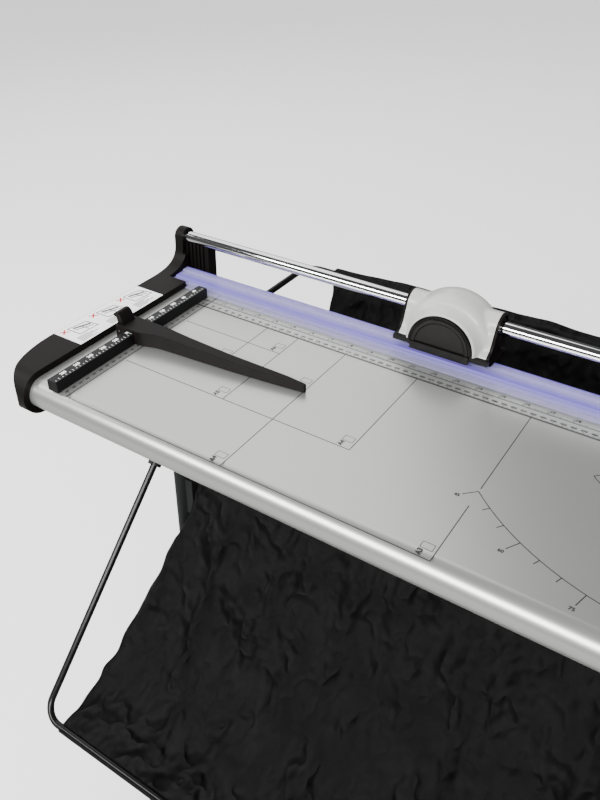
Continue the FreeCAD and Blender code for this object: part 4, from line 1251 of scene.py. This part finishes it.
def cloth_path():
    """(y, z) line of the sheet from the rear bar's loop to the front bar's, and which points are held."""
    top = TUBE_HIGH.z + 1.6
    rear_loop = arc(REAR_BAR, LOOP_R, 200, -90, 14)
    front_loop = arc(FRONT_BAR, LOOP_R, 80, -230, 14)
    hang = [
        (204.5, -90.0), (202.0, -130.0), (190.0, -178.0), (160.0, -236.0), (112.0, -279.0), (58.0, -297.0),
        (0.0, -293.0), (-52.0, -268.0), (-92.0, -232.0), (-120.0, -198.0),
    ]
    over = [(-132.0, top - 0.5), (-145.0, top), (-158.0, top - 0.5)]
    slope = [(-172.0, -192.0), (-205.0, -224.0), (-262.0, -292.0), (-320.0, -362.0), (-366.0, -410.0)]
    rows = [(point, True) for point in rear_loop]
    rows += [(point, False) for point in resampled([rear_loop[-1]] + hang + [over[0]])[1:-1]]
    rows += [(point, True) for point in over]
    rows += [(point, False) for point in resampled([over[-1]] + slope + [front_loop[0]])[1:-1]]
    rows += [(point, True) for point in front_loop]
    return rows


def resampled(points):
    """Even steps of about the cloth's grid along a smooth line."""
    fine = curve(points, 24)
    steps = [0.0]
    for a, b in zip(fine, fine[1:]):
        steps.append(steps[-1] + (Vector(b) - Vector(a)).length)
    count = round(steps[-1] / settings().cloth_grid)
    made = []
    at = 0
    for i in range(count + 1):
        want = steps[-1] * i / count
        while at < len(steps) - 2 and steps[at + 1] < want:
            at += 1
        share = (want - steps[at]) / (steps[at + 1] - steps[at])
        made.append(tuple(Vector(fine[at]).lerp(Vector(fine[at + 1]), share)))
    return made


def side_edge(y, z):
    """Where the cloth's left edge runs at a place on its path."""
    behind = min(max((y + 97) / 90, 0), 1)
    ahead = min(max((-176 - y) / 36, 0), 1)
    ease_behind = behind * behind * (3 - 2 * behind)
    ease_ahead = ahead * ahead * (3 - 2 * ahead)
    edge = WAIST_EDGE + (REAR_EDGE - WAIST_EDGE) * ease_behind
    wave = noise.noise(Vector((y / 30, z / 22, 5.3))) * (4 + 9 * ease_behind + 5 * ease_ahead)
    return edge + (FRONT_EDGE - edge) * ease_ahead + wave


def sleeve(x, y, z, from_left, from_right):
    """Puffs the rear loop's top up and puckers it. Other places are kept."""
    if (Vector((y, z)) - Vector(REAR_BAR)).length > LOOP_R + 1:
        return x, y, z
    way = (Vector((y, z)) - Vector(REAR_BAR)).normalized()
    inside = min(1.0, max(0.0, min(from_left, from_right) / 150.0))
    ripple = noise.noise(Vector((x / 38, way.y * 2, 1.7))) + 0.5 * noise.noise(Vector((x / 15, way.x * 3, 8.2)))
    puff = (2.5 + 8.0 * inside) * max(0.0, way.y) + 2.2 * ripple * (0.4 + max(0.0, way.y))
    place = Vector(REAR_BAR) + way * (LOOP_R + max(0.0, puff))
    return x, place.x, place.y


def crumpled(bm):
    """Sharp little creases over the hung sheet, less where it is held. Metres."""
    bmesh.ops.recalc_face_normals(bm, faces=bm.faces)
    bm.normal_update()
    moved = []
    for v in bm.verts:
        u = v.co * 1000
        fold = 1 - abs(noise.noise(Vector((u.x / 74, u.y / 60, u.z / 60)))) * 2.2
        small = 1 - abs(noise.noise(Vector((u.x / 31, u.y / 27, u.z / 27 + 40)))) * 2.2
        broad = noise.noise(Vector((u.x / 210, u.y / 160, u.z / 160 + 7)))
        moved.append(v.co + v.normal * (fold * 4.6 + small * 2.2 + broad * 9.0) * MM * hung_share(v))
    for v, place in zip(bm.verts, moved):
        v.co = place


def hung_share(v):
    """0 near a bar or the cross tube, 1 well away from them. v is in metres."""
    place = TO_FRAME.inverted() @ v.co
    near = min((Vector((place.y, place.z)) - Vector(bar)).length for bar in (REAR_BAR, FRONT_BAR, TUBE_TOP))
    return min(1.0, max(0.0, (near - 16) / 40))


def cloth_sheet():
    """Flat-woven grid on the path, with its UVs in metres, and the rows that are held."""
    rows = cloth_path()
    columns = round((CUT_LENGTH - 2 * WAIST_EDGE) / settings().cloth_grid)
    bm = bmesh.new()
    uv = bm.loops.layers.uv.new("cloth")
    held = []
    grid = []
    along = []
    length = 0.0
    last = rows[0][0]
    for (y, z), fixed in rows:
        length += math.hypot(y - last[0], z - last[1])
        last = (y, z)
        edge = side_edge(y, z)
        line = []
        for i in range(columns + 1):
            x = edge + (CUT_LENGTH - 2 * edge) * i / columns
            if fixed:
                v = bm.verts.new(sleeve(x, y, z, x - edge, CUT_LENGTH - edge - x))
            else:
                push = noise.noise(Vector((x / 60, length / 90, 3.1))) + 0.6 * noise.noise(Vector((x / 26, length / 40, 9)))
                v = bm.verts.new((x, y + push * 4.0, z + push * 8.0))
            line.append(v)
            if fixed:
                held.append(v)
        grid.append(line)
        along.append(length)
    for upper, lower, v0, v1 in zip(grid, grid[1:], along, along[1:]):
        for i in range(columns):
            face = bm.faces.new((upper[i], lower[i], lower[i + 1], upper[i + 1]))
            for loop, (vert, v) in zip(face.loops, ((upper[i], v0), (lower[i], v1), (lower[i + 1], v1), (upper[i + 1], v0))):
                loop[uv].uv = (vert.co.x * MM, v * MM)
    bm.verts.index_update()
    return bm, [v.index for v in held], length


def draped(bm, held):
    """Lets the sheet hang between its loops, with the tube below it. Metres from here on."""
    bm.transform(TO_FRAME)
    mesh = bpy.data.meshes.new("drape")
    bm.to_mesh(mesh)
    bm.free()
    sheet = bpy.data.objects.new("drape", mesh)
    bpy.context.scene.collection.objects.link(sheet)
    group = sheet.vertex_groups.new(name="held")
    group.add(held, 1.0, "REPLACE")
    under = bmesh.new()
    tube_low = Vector((TUBE_LOW.x - 20, TUBE_LOW.y, TUBE_LOW.z))
    block(under, tube_low, TUBE_HIGH + Vector((20, 0, 0)))
    rounded(under, 5.0, 3)
    under.transform(TO_FRAME)
    tube_mesh = bpy.data.meshes.new("support")
    under.to_mesh(tube_mesh)
    under.free()
    support = bpy.data.objects.new("support", tube_mesh)
    bpy.context.scene.collection.objects.link(support)
    support.modifiers.new("touch", "COLLISION")
    support.collision.thickness_outer = 0.001
    cloth = sheet.modifiers.new("drape", "CLOTH")
    cloth.settings.quality = 6
    cloth.settings.mass = 0.12
    cloth.settings.air_damping = 2.0
    cloth.settings.tension_stiffness = 25
    cloth.settings.compression_stiffness = 12
    cloth.settings.shear_stiffness = 4
    cloth.settings.bending_stiffness = 0.08
    cloth.settings.shrink_min = -settings().cloth_slack
    cloth.settings.shrink_max = -settings().cloth_slack
    cloth.settings.vertex_group_mass = "held"
    cloth.collision_settings.distance_min = 0.001
    cloth.collision_settings.use_self_collision = False
    scene = bpy.context.scene
    for step in range(1, DRAPE_STEPS + 1):
        scene.frame_set(step)
    bm = evaluated(sheet, support)
    scene.frame_set(1)
    return bm


class TRIMMER_OT_rods(bpy.types.Operator):
    """Bent rods that carry the cloth"""

    bl_idname = "trimmer.rods"
    bl_label = "Rods"

    def execute(self, context):
        paint("rear_rod", "front_rod")
        return {"FINISHED"}


class TRIMMER_OT_cloth(bpy.types.Operator):
    """Black nylon catch cloth, looped round both bars and laid over the cross tube"""

    bl_idname = "trimmer.cloth"
    bl_label = "Catch cloth"

    def execute(self, context):
        bm, held, length = cloth_sheet()
        bm = draped(bm, held)
        crumpled(bm)
        bmesh.ops.recalc_face_normals(bm, faces=bm.faces)
        area = sum(f.calc_area() for f in bm.faces)
        mesh = bpy.data.meshes.new("catch_sheet")
        bm.to_mesh(mesh)
        bm.free()
        sheet = mesh_piece("catch_sheet", mesh, black_nylon, "frame", ["catch_cloth"], 180, False)
        thick = sheet.modifiers.new("thickness", "SOLIDIFY")
        thick.thickness = CLOTH_T * MM
        thick.offset = 0
        smooth = sheet.modifiers.new("smooth", "SUBSURF")
        smooth.levels = 1
        smooth.render_levels = 1
        return {"FINISHED"}


# ------------------------------------------------------------------ stage
CAMERA_PLACE = (565.4, -732.6, 470.9)      # on the trimmer's axes, mm
CAMERA_AZIMUTH = 35.4
CAMERA_ELEVATION = 36.3
CAMERA_ROLL = -0.88
CAMERA_LENS = 35.8
CAMERA_SHIFT = (0.0508, 0.0172)
WORLD_LIGHT = 1.35         # on matt surfaces
WORLD_REFLECTED = 0.08
WORLD_SEEN = 1.3


def soft_light(name, place, aim, size, power, colour=(1, 1, 1)):
    light = bpy.data.lights.new(name, "AREA")
    light.shape = "RECTANGLE"
    light.size, light.size_y = size
    light.energy = power
    light.color = colour
    made = bpy.data.objects.new(name, light)
    made.location = place
    made.rotation_euler = (Vector(aim) - Vector(place)).to_track_quat("-Z", "Y").to_euler()
    bpy.context.scene.collection.objects.link(made)


def studio_world():
    """White to the camera, softer on matt surfaces and dim in reflections, so that metal has contrast."""
    world = bpy.data.worlds.new("studio")
    world.use_nodes = True
    tree = world.node_tree
    seen = tree.nodes.new("ShaderNodeLightPath")
    strength = tree.nodes.new("ShaderNodeMix")
    strength.inputs["A"].default_value = WORLD_LIGHT
    strength.inputs["B"].default_value = WORLD_REFLECTED
    tree.links.new(seen.outputs["Is Glossy Ray"], strength.inputs["Factor"])
    shown = tree.nodes.new("ShaderNodeMix")
    shown.inputs["B"].default_value = WORLD_SEEN
    tree.links.new(seen.outputs["Is Camera Ray"], shown.inputs["Factor"])
    tree.links.new(strength.outputs["Result"], shown.inputs["A"])
    tree.links.new(shown.outputs["Result"], tree.nodes["Background"].inputs["Strength"])
    tree.nodes["Background"].inputs["Color"].default_value = (1, 1, 1, 1)
    return world


class TRIMMER_OT_stage(bpy.types.Operator):
    """Pale floor, soft studio light and the camera"""

    bl_idname = "trimmer.stage"
    bl_label = "Stage"

    def execute(self, context):
        scene = context.scene
        bm = bmesh.new()
        bmesh.ops.create_grid(bm, x_segments=1, y_segments=1, size=12.0)
        mesh = bpy.data.meshes.new("floor")
        bm.to_mesh(mesh)
        bm.free()
        floor = bpy.data.objects.new("floor", mesh)
        floor.location.z = -0.0005
        mesh.materials.append(finish(pale_floor))
        scene.collection.objects.link(floor)
        scene.world = studio_world()
        soft_light("front", (-0.2, -2.75, 2.6), (0, -0.2, 0.87), (4.6, 1.0), 275)
        soft_light("left", (-3.0, -0.6, 2.4), (0, 0, 0.9), (1.4, 1.6), 40)
        soft_light("rear", (-2.9, 2.2, 4.0), (-0.5, 0, 0.9), (4.0, 4.2), 105)
        camera = bpy.data.objects.new("camera", bpy.data.cameras.new("camera"))
        camera.data.lens = CAMERA_LENS
        camera.data.shift_x, camera.data.shift_y = CAMERA_SHIFT
        turn, tip = math.radians(CAMERA_AZIMUTH), math.radians(CAMERA_ELEVATION)
        aim = Vector((-math.sin(turn) * math.cos(tip), math.cos(turn) * math.cos(tip), -math.sin(tip)))
        facing = aim.to_track_quat("-Z", "Y").to_matrix().to_4x4()
        roll = Matrix.Rotation(math.radians(CAMERA_ROLL), 4, "Z")
        camera.matrix_world = Matrix.Translation(TO_FRAME @ Vector(CAMERA_PLACE)) @ facing @ roll
        camera.data.clip_start = 0.01
        scene.collection.objects.link(camera)
        scene.camera = camera
        return {"FINISHED"}


# ------------------------------------------------------------------ panel and start
OPERATORS = (
    TRIMMER_OT_bed, TRIMMER_OT_prints, TRIMMER_OT_ends, TRIMMER_OT_strip, TRIMMER_OT_guides,
    TRIMMER_OT_backstop, TRIMMER_OT_carriage, TRIMMER_OT_head, TRIMMER_OT_stand, TRIMMER_OT_rods,
    TRIMMER_OT_cloth, TRIMMER_OT_stage,
)


class TRIMMER_PT_panel(bpy.types.Panel):
    """Sizes and colours, and one button for each group of pieces"""

    bl_idname = "TRIMMER_PT_panel"
    bl_label = "Rotary Paper Trimmer"
    bl_space_type = "VIEW_3D"
    bl_region_type = "UI"
    bl_category = "Trimmer"

    def draw(self, context):
        for name in TrimmerSettings.__annotations__:
            self.layout.prop(context.scene.trimmer, name)
        for operator in OPERATORS:
            self.layout.operator(operator.bl_idname)


CLASSES = (TrimmerSettings, *OPERATORS, TRIMMER_PT_panel)


def register():
    for made in CLASSES:
        bpy.utils.register_class(made)
    bpy.types.Scene.trimmer = bpy.props.PointerProperty(type=TrimmerSettings)


def unregister():
    del bpy.types.Scene.trimmer
    for made in reversed(CLASSES):
        bpy.utils.unregister_class(made)


def main():
    register()
    for operator in OPERATORS:
        group, name = operator.bl_idname.split(".")
        getattr(getattr(bpy.ops, group), name)()


if __name__ == "__main__":
    main()
